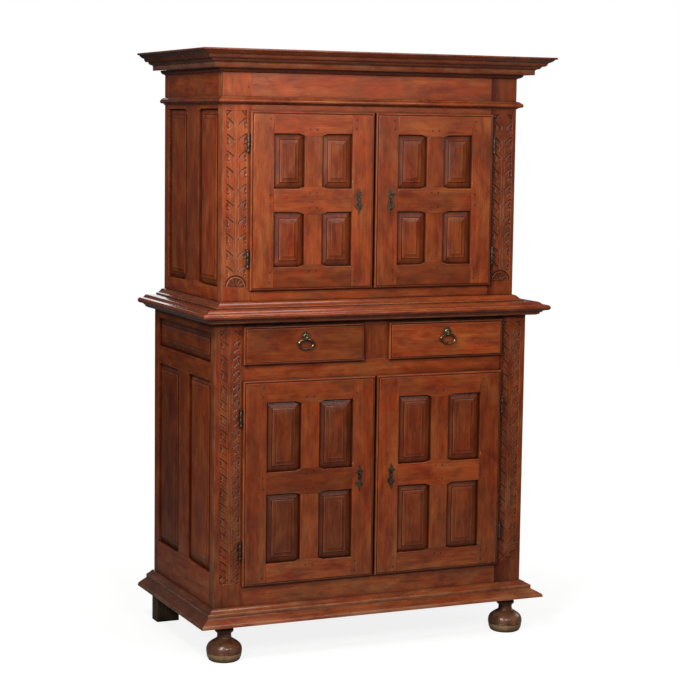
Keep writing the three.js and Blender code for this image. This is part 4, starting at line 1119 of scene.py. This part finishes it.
# %% Carving
STEM_HALF = 5.3 * MM
LEAF_RISE = 23.5 * MM
LEAF_DEPTH = 2.6 * MM
LEAF_TAIL = 7 * MM
CUT_WALL = 1.6 * MM
TIP_SHARE = 0.47
TIP_REACH = 4.5 * MM
TIP_EASE = 0.14
TIP_DEPTH = 0.8
SPOON = (5 * MM, 10 * MM, 1.6 * MM)
FIELD_TOP = (28 * MM, 18 * MM)
SPANDREL, SPANDREL_SUNK = 21 * MM, 2.1 * MM


def smooth(value, low, high):
    t = np.clip((value - low) / (high - low), 0, 1)
    return t * t * (3 - 2 * t)


def groove(distance, width, depth):
    return depth * np.clip(1 - np.abs(distance) / width, 0, 1)


def gouge_cut(above, pitch, tail):
    """1 just under a leaf's edge, easing out downwards, with a steep wall on its upper side."""
    return np.maximum(np.exp((above - pitch) / tail), 1 - above / CUT_WALL)


def wander(up, pitch, seed):
    """A carver's unevenness: a slow drift that differs from leaf to leaf."""
    return np.sin(up / pitch * 2.39 + seed) * np.sin(up / pitch * 0.83 + seed * 1.7)


def leaves(across, up, half, pitch, first, tip_from):
    """Depth of the laurel at a place: across from the stem's middle, up from the field's foot.

    tip_from is the share of the leaf's width at which its second cut begins.
    """
    hand = np.where(across < 0, 0.0, 2.0)
    outward = np.abs(across)
    share = np.clip((outward - STEM_HALF) / (half - STEM_HALF), 0, 1)
    crest = LEAF_RISE * (1.5 * share - 0.5 * share ** 2) + wander(up, pitch, hand) * 1.2 * MM
    start = first - LEAF_RISE
    leaf = gouge_cut(np.mod(up - start - crest, pitch), pitch, LEAF_TAIL) * smooth(share, 0.0, 0.18)
    rise = up - start - TIP_SHARE * pitch - crest
    tip = gouge_cut(np.mod(rise, pitch), pitch, TIP_REACH) * smooth(share, tip_from, tip_from + TIP_EASE)
    spoon_wide, spoon_tall, spoon_deep = SPOON
    beside = (outward - half + spoon_wide) / spoon_wide
    height = (np.mod(rise - pitch * 0.05, pitch) - spoon_tall * 0.9) / spoon_tall
    spoon = spoon_deep * np.clip(1 - beside ** 2 - height ** 2, 0, 1) ** 0.5
    deep = np.maximum(LEAF_DEPTH * leaf, LEAF_DEPTH * TIP_DEPTH * tip)
    return np.maximum(deep, spoon) * (1 - smooth(share, 0.96, 1.0))


def stem(across):
    return groove(np.abs(across) - STEM_HALF, 1.6 * MM, 1.3 * MM)


def until_top(up, tall):
    """1 over most of the field, easing to 0 under the sunk corners."""
    far, near = FIELD_TOP
    return 1 - smooth(up, tall - far, tall - near)


def spandrel(outward, below, half):
    """The sunk corner at each upper end of the field, past a slanting leaf edge."""
    past = outward - half - below + SPANDREL
    sunk = SPANDREL_SUNK * smooth(past, 0, 1.5 * MM)
    lens = ((past - 9 * MM) / (5 * MM)) ** 2 + ((outward - half + below) / (9 * MM)) ** 2
    return sunk - MM * np.clip(1 - lens, 0, 1)


print("leaf", LEAF_RISE, LEAF_DEPTH)

# %% [markdown]
# ## One post
# A post is a box whose front is the grid of the height field, fine over the carving and coarse beside
# it. Where the grid bends outwards, at the crests between the cuts, the wood is rubbed pale, which
# also paints the highlights on the leaf edges; where it is deep it is dirty, and on the right-hand
# posts a painted shadow darkens the strip beside the door.

# %% Carved post
GRID_STEP = 1.1 * MM
COARSE_ACROSS, COARSE_UP, FINE_MARGIN = 12 * MM, 60 * MM, 2 * MM
SUNK, BORDER_LINE = 0.7 * MM, 0.5 * MM
CREST_BULGE, CREST_WEAR_AND_HIGHLIGHT, EDGE_WEAR = 0.35 * MM, 0.7, 0.8
HOLLOW_DIRT, HOLLOW_CURVE = 0.75, 1.9
BESIDE_DOOR, PAINTED_DOOR_SHADOW = 34 * MM, 0.8


def lines_with(breaks, step):
    made = [breaks[0]]
    for a, b, fine in zip(breaks, breaks[1:], step):
        count = max(1, round((b - a) / fine))
        made += [a + (b - a) * i / count for i in range(1, count + 1)]
    return np.array(made)


def carved_post(case, post, hand, field, depth_at, tone):
    """A post whose front is a grid pushed in by depth_at(u from the field's middle, w from its foot)."""
    side = -1 if hand == "left" else 1
    outer, inner = case["half"], case["half"] - post
    u0, u1 = sorted((side * outer, side * inner))
    f0, f1 = sorted((side * field["outer"], side * field["inner"]))
    w0, w1, g0, g1 = case["foot"], case["top"], field["low"], field["high"]
    a, margin = ARRIS, FINE_MARGIN
    us = lines_with([u0, u0 + TIGHT, u0 + a, f0 - margin, f1 + margin, u1 - a, u1 - TIGHT, u1],
                    [a, a, COARSE_ACROSS, GRID_STEP, COARSE_ACROSS, a, a])
    ws = lines_with([w0, w0 + a, g0 - margin, g1 + margin, w1 - a, w1],
                    [a, COARSE_UP, GRID_STEP, COARSE_UP, a])
    u, w = np.meshgrid(us, ws)
    across, up = (u - (f0 + f1) / 2) * -side, w - g0
    inside = (u > f0) & (u < f1) & (w > g0) & (w < g1)
    edge = np.maximum(np.maximum(f0 - u, u - f1), np.maximum(g0 - w, w - g1))
    field_sunk = SUNK * smooth(-edge, 0, GRID_STEP * 1.5)
    depth = np.where(inside, depth_at(across, up, (f1 - f0) / 2, g1 - g0, hand) + field_sunk, 0)
    depth = depth + groove(edge + GRID_STEP, 1.5 * MM, BORDER_LINE)
    from_joint = u1 - u if side < 0 else u - u0
    free = np.minimum(u - u0 if side < 0 else u1 - u, np.minimum(w - w0, w1 - w))
    depth = np.maximum(depth, np.clip(a - free, 0, a))
    depth = np.maximum(depth, np.clip(TIGHT - from_joint, 0, TIGHT))
    rows, columns = u.shape
    front = np.stack([u, depth, w], -1).reshape(-1, 3)
    faces = []
    for r in range(rows - 1):
        for c in range(columns - 1):
            k = r * columns + c
            faces.append((k, k + 1, k + columns + 1, k + columns))
    loop = list(range(columns))
    loop += [r * columns + columns - 1 for r in range(1, rows)]
    loop += [(rows - 1) * columns + c for c in range(columns - 2, -1, -1)]
    loop += [r * columns for r in range(rows - 2, 0, -1)]
    rear = front[loop].copy()
    rear[:, 1] = POST_DEPTH
    start, count = len(front), len(loop)
    for i in range(count):
        j = (i + 1) % count
        faces.append((start + i, start + j, loop[j], loop[i]))
    faces.append(tuple(start + i for i in reversed(range(count))))
    points = case["front"].place(np.concatenate([front, rear]))
    hollow_dirt_and_door_shadow = np.clip(depth / LEAF_DEPTH, 0, 1) ** HOLLOW_CURVE * HOLLOW_DIRT
    # Painted shadow of the door on the right-hand posts.
    if hand == "right":
        hollow_dirt_and_door_shadow = np.maximum(hollow_dirt_and_door_shadow, PAINTED_DOOR_SHADOW * np.clip(1 - from_joint / BESIDE_DOOR, 0, 1))
    bulge = sum(np.gradient(np.gradient(depth, axis=k), axis=k) for k in (0, 1))
    # Rubbed pale crests, which also paint the highlights of the leaf edges.
    crest = np.clip(bulge / CREST_BULGE, 0, CREST_WEAR_AND_HIGHLIGHT) * inside
    crest = crest + EDGE_WEAR * (free < a / 2) * (from_joint > a)
    skirt = np.zeros(count)
    wear = np.concatenate([crest.ravel(), skirt])
    dirt = np.concatenate([hollow_dirt_and_door_shadow.ravel(), skirt])
    return lump(points, faces, Z, wear=wear, dirt=dirt, tone=tone)


print("grid step", GRID_STEP)

# %% Posts of the upper case
UPPER_FIELD = {"outer": 540 * MM, "inner": 468 * MM, "low": 1270 * MM, "high": 1859 * MM}
UPPER_PITCH = 55 * MM
UPPER_FIRST = 17 * MM
UPPER_TIP_FROM = {"left": 0.58, "right": 0.25}
STEM_STOP = 90 * MM
FAN_RADIUS, FAN_PETALS = 35 * MM, 11
FAN_SUNK, PETAL_SUNK, HUB_SUNK, MOAT_SUNK = 1.4 * MM, 1.6 * MM, 0.8 * MM, 2.8 * MM
FAN_FADE = 9 * MM


def fan(across, up):
    """A half-round fan of petals, sunk inside a raised rim, at the foot of the field."""
    radius = FAN_RADIUS
    distance = np.hypot(across, up)
    petal = np.abs(np.sin(np.arctan2(up, across) * FAN_PETALS / 2))
    inside = FAN_SUNK + PETAL_SUNK * (1 - petal ** 0.7) * smooth(distance, radius * 0.12, radius * 0.4)
    inside = inside + HUB_SUNK * (1 - smooth(distance, 0, radius * 0.25))
    rim = smooth(distance, radius - 5 * MM, radius - 4 * MM)
    moat = MOAT_SUNK * smooth(distance, radius - 1 * MM, radius + 0.5 * MM)
    moat = moat * (1 - smooth(distance, radius + 1 * MM, radius + FAN_FADE))
    return inside * (1 - rim) + moat


def upper_carving(across, up, half, tall, hand):
    laurel = leaves(across, up, half, UPPER_PITCH, UPPER_FIRST, UPPER_TIP_FROM[hand])
    laurel = laurel * until_top(up, tall)
    stop = tall - STEM_STOP
    laurel = np.maximum(laurel, stem(across) * (1 - smooth(up, stop - 10 * MM, stop + 10 * MM)))
    corner = spandrel(np.abs(across), tall - up, half)
    distance = np.hypot(across, up)
    edge = FAN_RADIUS + FAN_FADE
    foot = np.maximum(fan(across, up), laurel * smooth(distance, FAN_RADIUS, edge))
    return np.where(distance < edge, foot, np.maximum(laurel, corner))


UPPER_TONES = {"left": 0.5, "right": -1.0}
upper_posts = [carved_post(upper, UPPER_POST, hand, UPPER_FIELD, upper_carving, tone)
               for hand, tone in UPPER_TONES.items()]
piece("upper_posts", upper_posts, "case", carved_wood, ["upper_front_frame"])
print("upper posts", sum(len(post["points"]) for post in upper_posts), "points")

# %% Posts of the lower case
LOWER_FIELD = {"outer": 571 * MM, "inner": 499 * MM, "low": 265 * MM, "high": 1128 * MM}
LOWER_PITCH = 50 * MM
LOWER_FIRST = 33 * MM
LOWER_TIP_FROM = 0.08
FLOWER_HALF = 12 * MM
FLOWER_SUNK = 1.3 * MM
FLOWER_LINE = (1.3 * MM, 0.4 * MM)
FLOWER_ACROSS = {"left": -24 * MM, "right": -8 * MM}


def flower(across, up):
    """Four petals in a small sunk square."""
    distance = np.hypot(across, up)
    petal = (0.35 + 0.65 * np.abs(np.cos(2 * np.arctan2(up, across)))) * FLOWER_HALF
    sunk = FLOWER_SUNK * smooth(distance, petal * 0.7, petal) + groove(distance, 3 * MM, 1 * MM)
    edge = np.maximum(np.abs(across), np.abs(up))
    return np.where(edge < FLOWER_HALF, sunk, 0) + groove(edge - FLOWER_HALF, *FLOWER_LINE)


def lower_carving(across, up, half, tall, hand):
    laurel = np.maximum(leaves(across, up, half, LOWER_PITCH, LOWER_FIRST, LOWER_TIP_FROM), stem(across))
    laurel = laurel * until_top(up, tall)
    corner = spandrel(np.abs(across), tall - up, half)
    beside, above = across - FLOWER_ACROSS[hand], up - FLOWER_HALF * 1.2
    square = np.maximum(np.abs(beside), np.abs(above)) < FLOWER_HALF + FLOWER_LINE[0]
    return np.where(square, flower(beside, above), np.maximum(laurel, corner))


lower_posts = [carved_post(lower, LOWER_POST, hand, LOWER_FIELD, lower_carving, DARK) for hand in HANDS]
piece("lower_posts", lower_posts, "case", carved_wood, ["lower_front_frame"])
print("lower posts", sum(len(post["points"]) for post in lower_posts), "points")

# %% [markdown]
# ## Feet
# The front feet were turned on a lathe, so an outline spun about an upright axis makes them. Each is
# cut at the line above its pad, because the pad has worn down to paler wood and needs its own finish.
# The rear feet stand out of sight and are plain blocks with their edges taken off.

# %% Turned and block feet
TURN_SIDES = 72
BALL_RADIUS = 61 * MM
FOOT_ROUND, BLOCK_ARRIS = 0.8 * MM, 2 * MM
PAD_SHARES = [(0, 0), (0.77, 0), (0.87, 0.03), (0.95, 0.11), (0.985, 0.205), (0.965, 0.213), (0, 0.213)]
BALL_SHARES = [
    (0, 0.213), (0.965, 0.213), (0.99, 0.221), (1, 0.25), (0.98, 0.258), (1, 0.266), (1.01, 0.41, 0.8, 0.48),
    (0.66, 0.53, 0.5, 0.57), (0.42, 0.6), (0.38, 0.65, 0.4, 0.72), (0.44, 0.75), (0.52, 0.76, 0.53, 0.8),
    (0.52, 0.85, 0.44, 0.86), (0.4, 0.9, 0.42, 0.95), (0.56, 0.96), (0.56, 1), (0, 1),
]


def turned(outline, centre_x, centre_y, foot):
    """An outline of radii and heights, spun about an upright axis."""
    rings = []
    for radius, height in outline:
        if radius > 0:
            around = circle(radius, TURN_SIDES)
            rings.append([(centre_x + x, centre_y + y, foot + height) for x, y in around])
    return loft(rings, Z)


for hand in HANDS:
    cad = f"front_{hand}_ball_foot"
    low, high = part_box(cad)
    centre = (low + high) / 2
    for part, shares, finish in (("pad", PAD_SHARES, pad_wood), ("ball", BALL_SHARES, foot_wood)):
        outline, _ = rounded(section(shares, BALL_RADIUS, high.z - low.z), FOOT_ROUND)
        foot = turned(outline, centre.x, centre.y, low.z)
        stands_for = [cad] if part == "ball" else []
        piece(f"front_{hand}_foot_{part}", [foot], "case", finish, stands_for)
    cad = f"rear_{hand}_block_foot"
    low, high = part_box(cad)
    face = Face((0, low.y, 0), (1, 0, 0), (0, 1, 0))
    block = board(face, oblong(low.x, high.x, low.z, high.z), 0, high.y - low.y, True, arris=BLOCK_ARRIS)
    piece(f"rear_{hand}_foot_block", [block], "case", block_wood, [cad])
print("feet turned with", TURN_SIDES, "sides")

# %% [markdown]
# ## Drawers
# Each front is one board with the same beaded lip as the doors. Its pull is a cast back plate with
# a round boss, an eye, and an oval ring that swings in it.

# %% Sheet metal and rings
RING_STEPS = 72
TUBE_STEPS = 16


def cut_plate(name, outlines, thickness, bevel, place, body, stands_for=()):
    """Sheet brass: closed outlines on a flat curve, the first the edge and the others its holes."""
    curve = bpy.data.curves.new(name, "CURVE")
    curve.dimensions = "2D"
    curve.fill_mode = "BOTH"
    curve.extrude = thickness / 2 - bevel
    curve.bevel_depth = bevel
    curve.bevel_resolution = 1
    curve.offset = -bevel
    for outline in outlines:
        spline = curve.splines.new("POLY")
        spline.points.add(len(outline) - 1)
        for point, (x, z) in zip(spline.points, outline):
            point.co = (x, z, 0, 1)
        spline.use_cyclic_u = True
    drawn = added(name + "_outline", curve)
    mesh = bpy.data.meshes.new_from_object(drawn.evaluated_get(bpy.context.evaluated_depsgraph_get()))
    bpy.data.objects.remove(drawn)
    mesh.transform(Matrix.Translation(place) @ Matrix.Rotation(math.pi / 2, 4, "X"))
    mesh.name = name
    return settled(name, mesh, body, plate_brass, stands_for)


def both_halves(half):
    points = [tuple(p) for p in half]
    return points + [(-x, z) for x, z in reversed(points[1:-1])]


def ring_of(centre, across, half_width, half_height, tube):
    """A tube round an upright oval, which lies in the plane of Z and of the axis across."""
    first, second = Vector(across), Vector((0, 0, 1))
    side = first.cross(second)
    rings = []
    for t in turns(RING_STEPS):
        middle = centre + first * (half_width * math.cos(t)) + second * (half_height * math.sin(t))
        out = (first * (math.cos(t) / half_width) + second * (math.sin(t) / half_height)).normalized()
        ring = [middle + out * (tube * math.cos(a)) + side * (tube * math.sin(a)) for a in turns(TUBE_STEPS)]
        rings.append(ring)
    return loft(rings, X, closed=True)


print("rings", RING_STEPS, "by", TUBE_STEPS)

# %% Drawer fronts and pulls
DRAWER_TONES = {"left": -1.1, "right": 0.9}
PULL_PLATE = (36 * MM, 38 * MM)
PULL_PLATE_BELOW_EYE = 11 * MM
BOSS_LIFT = 9.5 * MM
PLATE_THICK, PLATE_BEVEL = 1.5 * MM, 0.4 * MM
PULL_PLATE_SHARES = [
    (0, 0), (0.3, 0.05), (0.5, 0.2, 0.42, 0.36), (0.9, 0.4, 1, 0.56), (0.9, 0.72, 0.62, 0.7),
    (0.66, 0.86, 0.36, 0.88), (0.2, 0.98, 0, 1),
]
RING_TUBE = 3 * MM
# The eye of a pull: how far its middle stands above the joint, half its width and height, its tube.
EYE_LIFT, EYE_HALF_WIDTH, EYE_HALF_HEIGHT, EYE_TUBE = 2.4 * MM, 5.0 * MM, 6.2 * MM, 1.5 * MM
# The boss, as distances out from its plate and radii; its tip reaches just past the joint.
BOSS_OUTLINE = [
    (1 * MM, 8.5 * MM), (2.8 * MM, 8.5 * MM), (3.6 * MM, 7.8 * MM), (4 * MM, 6.6 * MM), (4 * MM, 4 * MM),
    (3.2 * MM, 3 * MM), (3.1 * MM, 2.2 * MM),
]
BOSS_TIP = [(1 * MM, 2 * MM), (2.6 * MM, 1 * MM)]

face = lower["front"]
plate_face = lower["front_y"] - PROUD
for hand in HANDS:
    body = f"{hand}_drawer"
    low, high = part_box(f"{hand}_drawer_front")
    e = LIP_WIDTH
    shape = oblong(low.x + e, high.x - e, low.z + e, high.z - e)
    front = board(face, shape, -PROUD, FRONT_INSIDE, False, tone=DRAWER_TONES[hand])
    lips = lip(face, low.x, high.x, low.z, high.z)
    piece(f"{body}_front_board", [front], body, front_wood, [f"{body}_front"])
    piece(f"{body}_front_lip", lips, body, front_wood)
    cad = f"{hand}_drawer_ring"
    ring_low, ring_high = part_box(cad)
    half_width = (ring_high.x - ring_low.x) / 2 - RING_TUBE
    half_height = (ring_high.z - ring_low.z) / 2 - RING_TUBE
    ring = ring_of((ring_low + ring_high) / 2, (1, 0, 0), half_width, half_height, RING_TUBE)
    piece(f"{hand}_pull_ring_oval", [ring], f"{hand}_pull_ring", ring_brass, [cad])
    eye = Vector(joint_place(f"{hand}_ring_swing"))
    outline = both_halves(section(PULL_PLATE_SHARES, PULL_PLATE[0] / 2, PULL_PLATE[1]))
    place = Vector((eye.x, plate_face - PLATE_THICK / 2, eye.z - PULL_PLATE_BELOW_EYE))
    cut_plate(f"{hand}_pull_plate", [outline], PLATE_THICK, PLATE_BEVEL, place, body)
    loop_middle = eye + Vector((0, 0, EYE_LIFT))
    loop = ring_of(loop_middle, (0, 1, 0), EYE_HALF_WIDTH, EYE_HALF_HEIGHT, EYE_TUBE)
    boss_rings = []
    height = eye.z + BOSS_LIFT
    reach = plate_face - eye.y
    for out, r in [*BOSS_OUTLINE, *[(reach + past, radius) for past, radius in BOSS_TIP]]:
        boss_rings.append([(eye.x + x, plate_face - out, height + z) for x, z in circle(r, TUBE_STEPS)])
    boss = loft(boss_rings, Y)
    piece(f"{hand}_pull_eye", [loop, boss], body, eye_brass)
print("pulls on", [f"{hand}_drawer" for hand in HANDS])

# %% [markdown]
# ## Lock plates and hinges
# A lock plate is sheet metal sawn to a waisted outline with four small piercings and a keyhole, so
# it is drawn as flat outlines with holes and given a thickness. A hinge shows only its barrel: two
# turned halves on one pin, the lower fixed to the post and the upper to the door. Only the
# right-hand plates have a keyhole, and a dark block behind it paints the shade inside the hole.

# %% Lock plates
ESCUTCHEON = (27 * MM, 92 * MM)
ESCUTCHEON_SHARES = [
    (0, 0), (0.12, 0.05), (0.14, 0.15, 0.6, 0.21), (0.95, 0.25, 1, 0.34), (0.9, 0.4, 0.56, 0.41),
    (0.5, 0.5, 0.54, 0.6), (0.56, 0.68, 0.86, 0.72), (0.78, 0.8, 0.42, 0.84), (0.3, 0.92, 0, 1),
]
PIERCING_SHARES = [(-0.46, 0.31), (0.46, 0.31), (-0.4, 0.73), (0.4, 0.73)]
PIERCING, PIERCING_SIDES = 1.9 * MM, 16
KEY_HEAD, KEY_SLOT, KEY_DROP, KEY_STEPS = 4 * MM, 5 * MM, 17 * MM, 16
ESCUTCHEON_BEVEL = 0.35 * MM
SHAFT_PROUD, SHAFT_DEEP, SHAFT_ARRIS = 0.2 * MM, 2 * MM, 0.05 * MM


def keyhole(z):
    head = z + KEY_DROP / 2
    half, foot = KEY_SLOT / 2, z - KEY_DROP / 2
    gap = math.asin(half / KEY_HEAD)
    whole = 2 * math.pi - 2 * gap
    bends = [-math.pi / 2 - gap - whole * i / KEY_STEPS for i in range(KEY_STEPS + 1)]
    round_head = [(KEY_HEAD * math.cos(t), head + KEY_HEAD * math.sin(t)) for t in bends]
    return [(half, foot), (-half, foot), *round_head]


def piercing(x, z):
    return [(x + a, z - b) for a, b in circle(PIERCING, PIERCING_SIDES)]


width, height = ESCUTCHEON
edge = both_halves(section(ESCUTCHEON_SHARES, width / 2, height))
holes = [piercing(width / 2 * x, height * z) for x, z in PIERCING_SHARES]
for level, hand in DOORS:
    body = f"{level}_{hand}_door"
    cad = f"{body}_escutcheon"
    low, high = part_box(cad)
    outlines = [edge, keyhole(height / 2), *holes] if hand == "right" else [edge, *holes]
    u, w = (low.x + high.x) / 2, (low.z + high.z) / 2
    place = Vector((u, (low.y + high.y) / 2, low.z))
    cut_plate(cad + "_sawn", outlines, high.y - low.y, ESCUTCHEON_BEVEL, place, body, [cad])
    if hand == "right":
        half = KEY_DROP / 2 + KEY_HEAD
        face = DOOR_SIZES[level]["case"]["front"]
        hole = oblong(u - KEY_HEAD, u + KEY_HEAD, w - half, w + half)
        # Painted shade: a dark block behind the keyhole stands for the shade inside the hole.
        hole_shade = board(face, hole, -PROUD - SHAFT_PROUD, -PROUD + SHAFT_DEEP, True, arris=SHAFT_ARRIS)
        piece(f"{body}_keyhole_shade", [hole_shade], body, crack_wood)
print("lock plates", ESCUTCHEON)

# %% Hinge barrels
HINGE_BARREL, BARREL_GAP = 5 * MM, 0.5 * MM
PIN_LENGTH = 26 * MM
BARREL_SHARES = [
    (0, 0), (0.55, 0), (0.95, 0.04), (1, 0.08), (1, 0.3), (0.93, 0.32), (1, 0.34), (1, 0.94), (0.9, 1),
    (0, 1),
]
FLIPPED_SHARES = [(r, 1 - z) for r, z in reversed(BARREL_SHARES)]

for level, hand in DOORS:
    x, y, _ = joint_place(f"{level}_{hand}_door_hinge")
    upper_halves = []
    for place in ("bottom", "top"):
        cad = f"{level}_{hand}_{place}_hinge_pin"
        low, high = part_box(cad)
        knuckle = high.z - PIN_LENGTH - low.z
        fixed = turned(section(BARREL_SHARES, HINGE_BARREL, knuckle - BARREL_GAP), x, y, low.z)
        piece(cad + "_barrel", [fixed], "case", old_iron, [cad])
        flipped = section(FLIPPED_SHARES, HINGE_BARREL, knuckle - BARREL_GAP)
        upper_halves.append(turned(flipped, x, y, low.z + knuckle + BARREL_GAP))
    piece(f"{level}_{hand}_door_barrels", upper_halves, f"{level}_{hand}_door", old_iron)
print("hinge barrels", HINGE_BARREL)

# %% [markdown]
# ## Inside
# The backs, shelf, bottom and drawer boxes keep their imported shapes, because what they need is bare
# wood and not another outline. The grain runs up the back boards, along the shelf and down the
# length of each drawer. Each right-hand door also gets the rim lock that its bolt slides in.

# %% Inner woods
INNER_GRAIN = {
    "lower_back": Z, "upper_back": Z,
    "upper_shelf": X, "lower_bottom": X, "drawer_deck": X,
    "left_drawer_box": Y, "right_drawer_box": Y,
}


def refinished(name, finish):
    """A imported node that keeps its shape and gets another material."""
    materials = frame["nodes"][name].data.materials
    materials.clear()
    materials.append(finish)


for name, along in INNER_GRAIN.items():
    refinished(name, inner_wood_by_axis[along])
print("inner woods on", len(INNER_GRAIN), "nodes")

# %% Rim locks
LOCK_WIDE, LOCK_TALL, LOCK_DEEP = 60 * MM, 78 * MM, 14 * MM
LOCK_RIM = 1.5 * MM

for level, sizes in DOOR_SIZES.items():
    body = f"{level}_right_door"
    refinished(f"{body}_lock_bolt", old_iron)
    low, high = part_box(f"{body}_lock_bolt")
    middle = (low.z + high.z) / 2
    lock_foot, lock_top = middle - LOCK_TALL / 2, middle + LOCK_TALL / 2
    back = sizes["case"]["front_y"] + FRONT_INSIDE
    bolt_back = high.y - back
    inside_out = Face((0, back, 0), (-1, 0, 0), (0, -1, 0))
    u0, u1 = -low.x - LOCK_WIDE, -low.x
    cover = oblong(u0, u1, lock_foot, lock_top)
    lock_parts = [board(inside_out, cover, -LOCK_DEEP, -bolt_back - SEAT, False, arris=LOCK_RIM)]
    for foot, top in ((lock_foot, low.z - SEAT), (high.z + SEAT, lock_top)):
        lock_parts.append(board(inside_out, oblong(u0, u1, foot, top), -bolt_back, 0, False))
    piece(f"{body}_lock_case", lock_parts, body, old_iron)
print("locks on the right-hand doors", LOCK_WIDE, LOCK_TALL)

# %% [markdown]
# ## Lamps
# The key lamp stands close to the upper left of the front, so its light falls off towards the right
# and the foot. Two farther lamps, on the left and in front, carry on its direction lower down. A weak
# one stands where the camera sees it mirrored in the frieze, which gives the wax its sheen there, and
# others on the right and behind keep the shadows readable.

# %% Lamps
MIDDLE = (0, 0, 1.1)


def lamp(name, place, aim, size, power):
    data = bpy.data.lights.new(name, "AREA")
    data.shape = "RECTANGLE"
    data.size, data.size_y = size
    data.energy = power
    made = added(name, data)
    made.location = place
    made.rotation_euler = (Vector(aim) - Vector(place)).to_track_quat("-Z", "Y").to_euler()


lamp("key", (-1.8, -1.7, 2.6), (-0.3, -0.35, 1.45), (0.55, 0.55), 41)
lamp("left_far", (-3.7, -3.8, 2.8), MIDDLE, (0.6, 0.6), 84)
lamp("front", (-0.7, -4.7, 2.9), MIDDLE, (0.7, 0.7), 56)
lamp("right_front", (1.9, -4.4, 2.8), MIDDLE, (0.8, 0.8), 11)
lamp("sheen", (1.05, -4.4, 2.3), (-0.3, 0, 1.9), (0.5, 0.5), 5)
lamp("top", (0.3, -0.9, 3.8), MIDDLE, (1.4, 0.8), 15)
lamp("right_fill", (3.6, 0.6, 2.3), MIDDLE, (2, 2), 24)
lamp("back_fill", (1.6, 4.5, 2.6), MIDDLE, (3, 3), 42)
print("lamps", len(bpy.data.lights))

# %% [markdown]
# ## Background and floor
# The background is white only to the camera, so it adds no light to the wood. What the wax mirrors is
# a dim room, which greys the glossy mouldings a little. The floor glows white to the camera alone, a
# little less near the feet, so that their shadow can be seen on it.

# %% Background
WHITE = (1, 1, 1, 1)
MIRRORED_ROOM = 0.08
LIGHT_BELOW, LIGHT_ABOVE = 0.03, 0.06
world = bpy.data.worlds.new("studio")
bpy.context.scene.world = world
world.use_nodes = True
tree = world.node_tree
tree.nodes.clear()
rays = node(tree, "LightPath").outputs
way = node(tree, "TexCoord").outputs["Generated"]
upward = node(tree, "SeparateXYZ", {0: way}).outputs["Z"]
studio_light = remapped(tree, upward, 0.1, 0.9, LIGHT_BELOW, LIGHT_ABOVE)
seen = math_of(tree, "MAXIMUM", rays["Is Camera Ray"], rays["Is Transmission Ray"])
mirrored = math_of(tree, "MULTIPLY", rays["Is Glossy Ray"], MIRRORED_ROOM)
strength = math_of(tree, "MAXIMUM", math_of(tree, "MAXIMUM", studio_light, mirrored), seen)
sky = node(tree, "Background", {"Color": WHITE, "Strength": strength})
node(tree, "OutputWorld", {"Surface": sky.outputs[0]})
bpy.context.scene.view_settings.view_transform = "Standard"
print("background", world.name)

# %% Floor
FLOOR_HALF = 14
FLOOR_GREY = (0.24, 0.235, 0.23, 1)
GLOW_NEAR, GLOW_FAR = 0.8, 2.4
GLOW_AT_FEET, GLOW_BEYOND = 0.86, 1.0
floor_mesh = bpy.data.meshes.new("floor")
floor_corners = [(u, w, 0) for u, w in oblong(-FLOOR_HALF, FLOOR_HALF, -FLOOR_HALF, FLOOR_HALF)]
floor_mesh.from_pydata(floor_corners, [], [(0, 1, 2, 3)])
floor = added("floor", floor_mesh)
floor_material, tree = blank_material("pale_floor")
pale = node(tree, "BsdfDiffuse", {"Color": FLOOR_GREY})
place = node(tree, "TexCoord").outputs["Object"]
reach = node(tree, "VectorMath", {0: place}, operation="LENGTH").outputs["Value"]
glow_strength = remapped(tree, reach, GLOW_NEAR, GLOW_FAR, GLOW_AT_FEET, GLOW_BEYOND)
glow = node(tree, "Emission", {"Color": WHITE, "Strength": glow_strength})
both = node(tree, "AddShader", {0: pale.outputs[0], 1: glow.outputs[0]})
rays = node(tree, "LightPath").outputs
shown = node(tree, "MixShader", {0: rays["Is Camera Ray"], 1: pale.outputs[0], 2: both.outputs[0]})
node(tree, "OutputMaterial", {"Surface": shown.outputs[0]})
floor_mesh.materials.append(floor_material)
floor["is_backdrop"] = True
print("floor", FLOOR_HALF * 2, "m across")

# %% [markdown]
# ## Sizes
# The whole is measured once more, and its box is printed.

# %% Sizes
low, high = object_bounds()
print("visual box", [round(v, 4) for v in (*low, *high)])
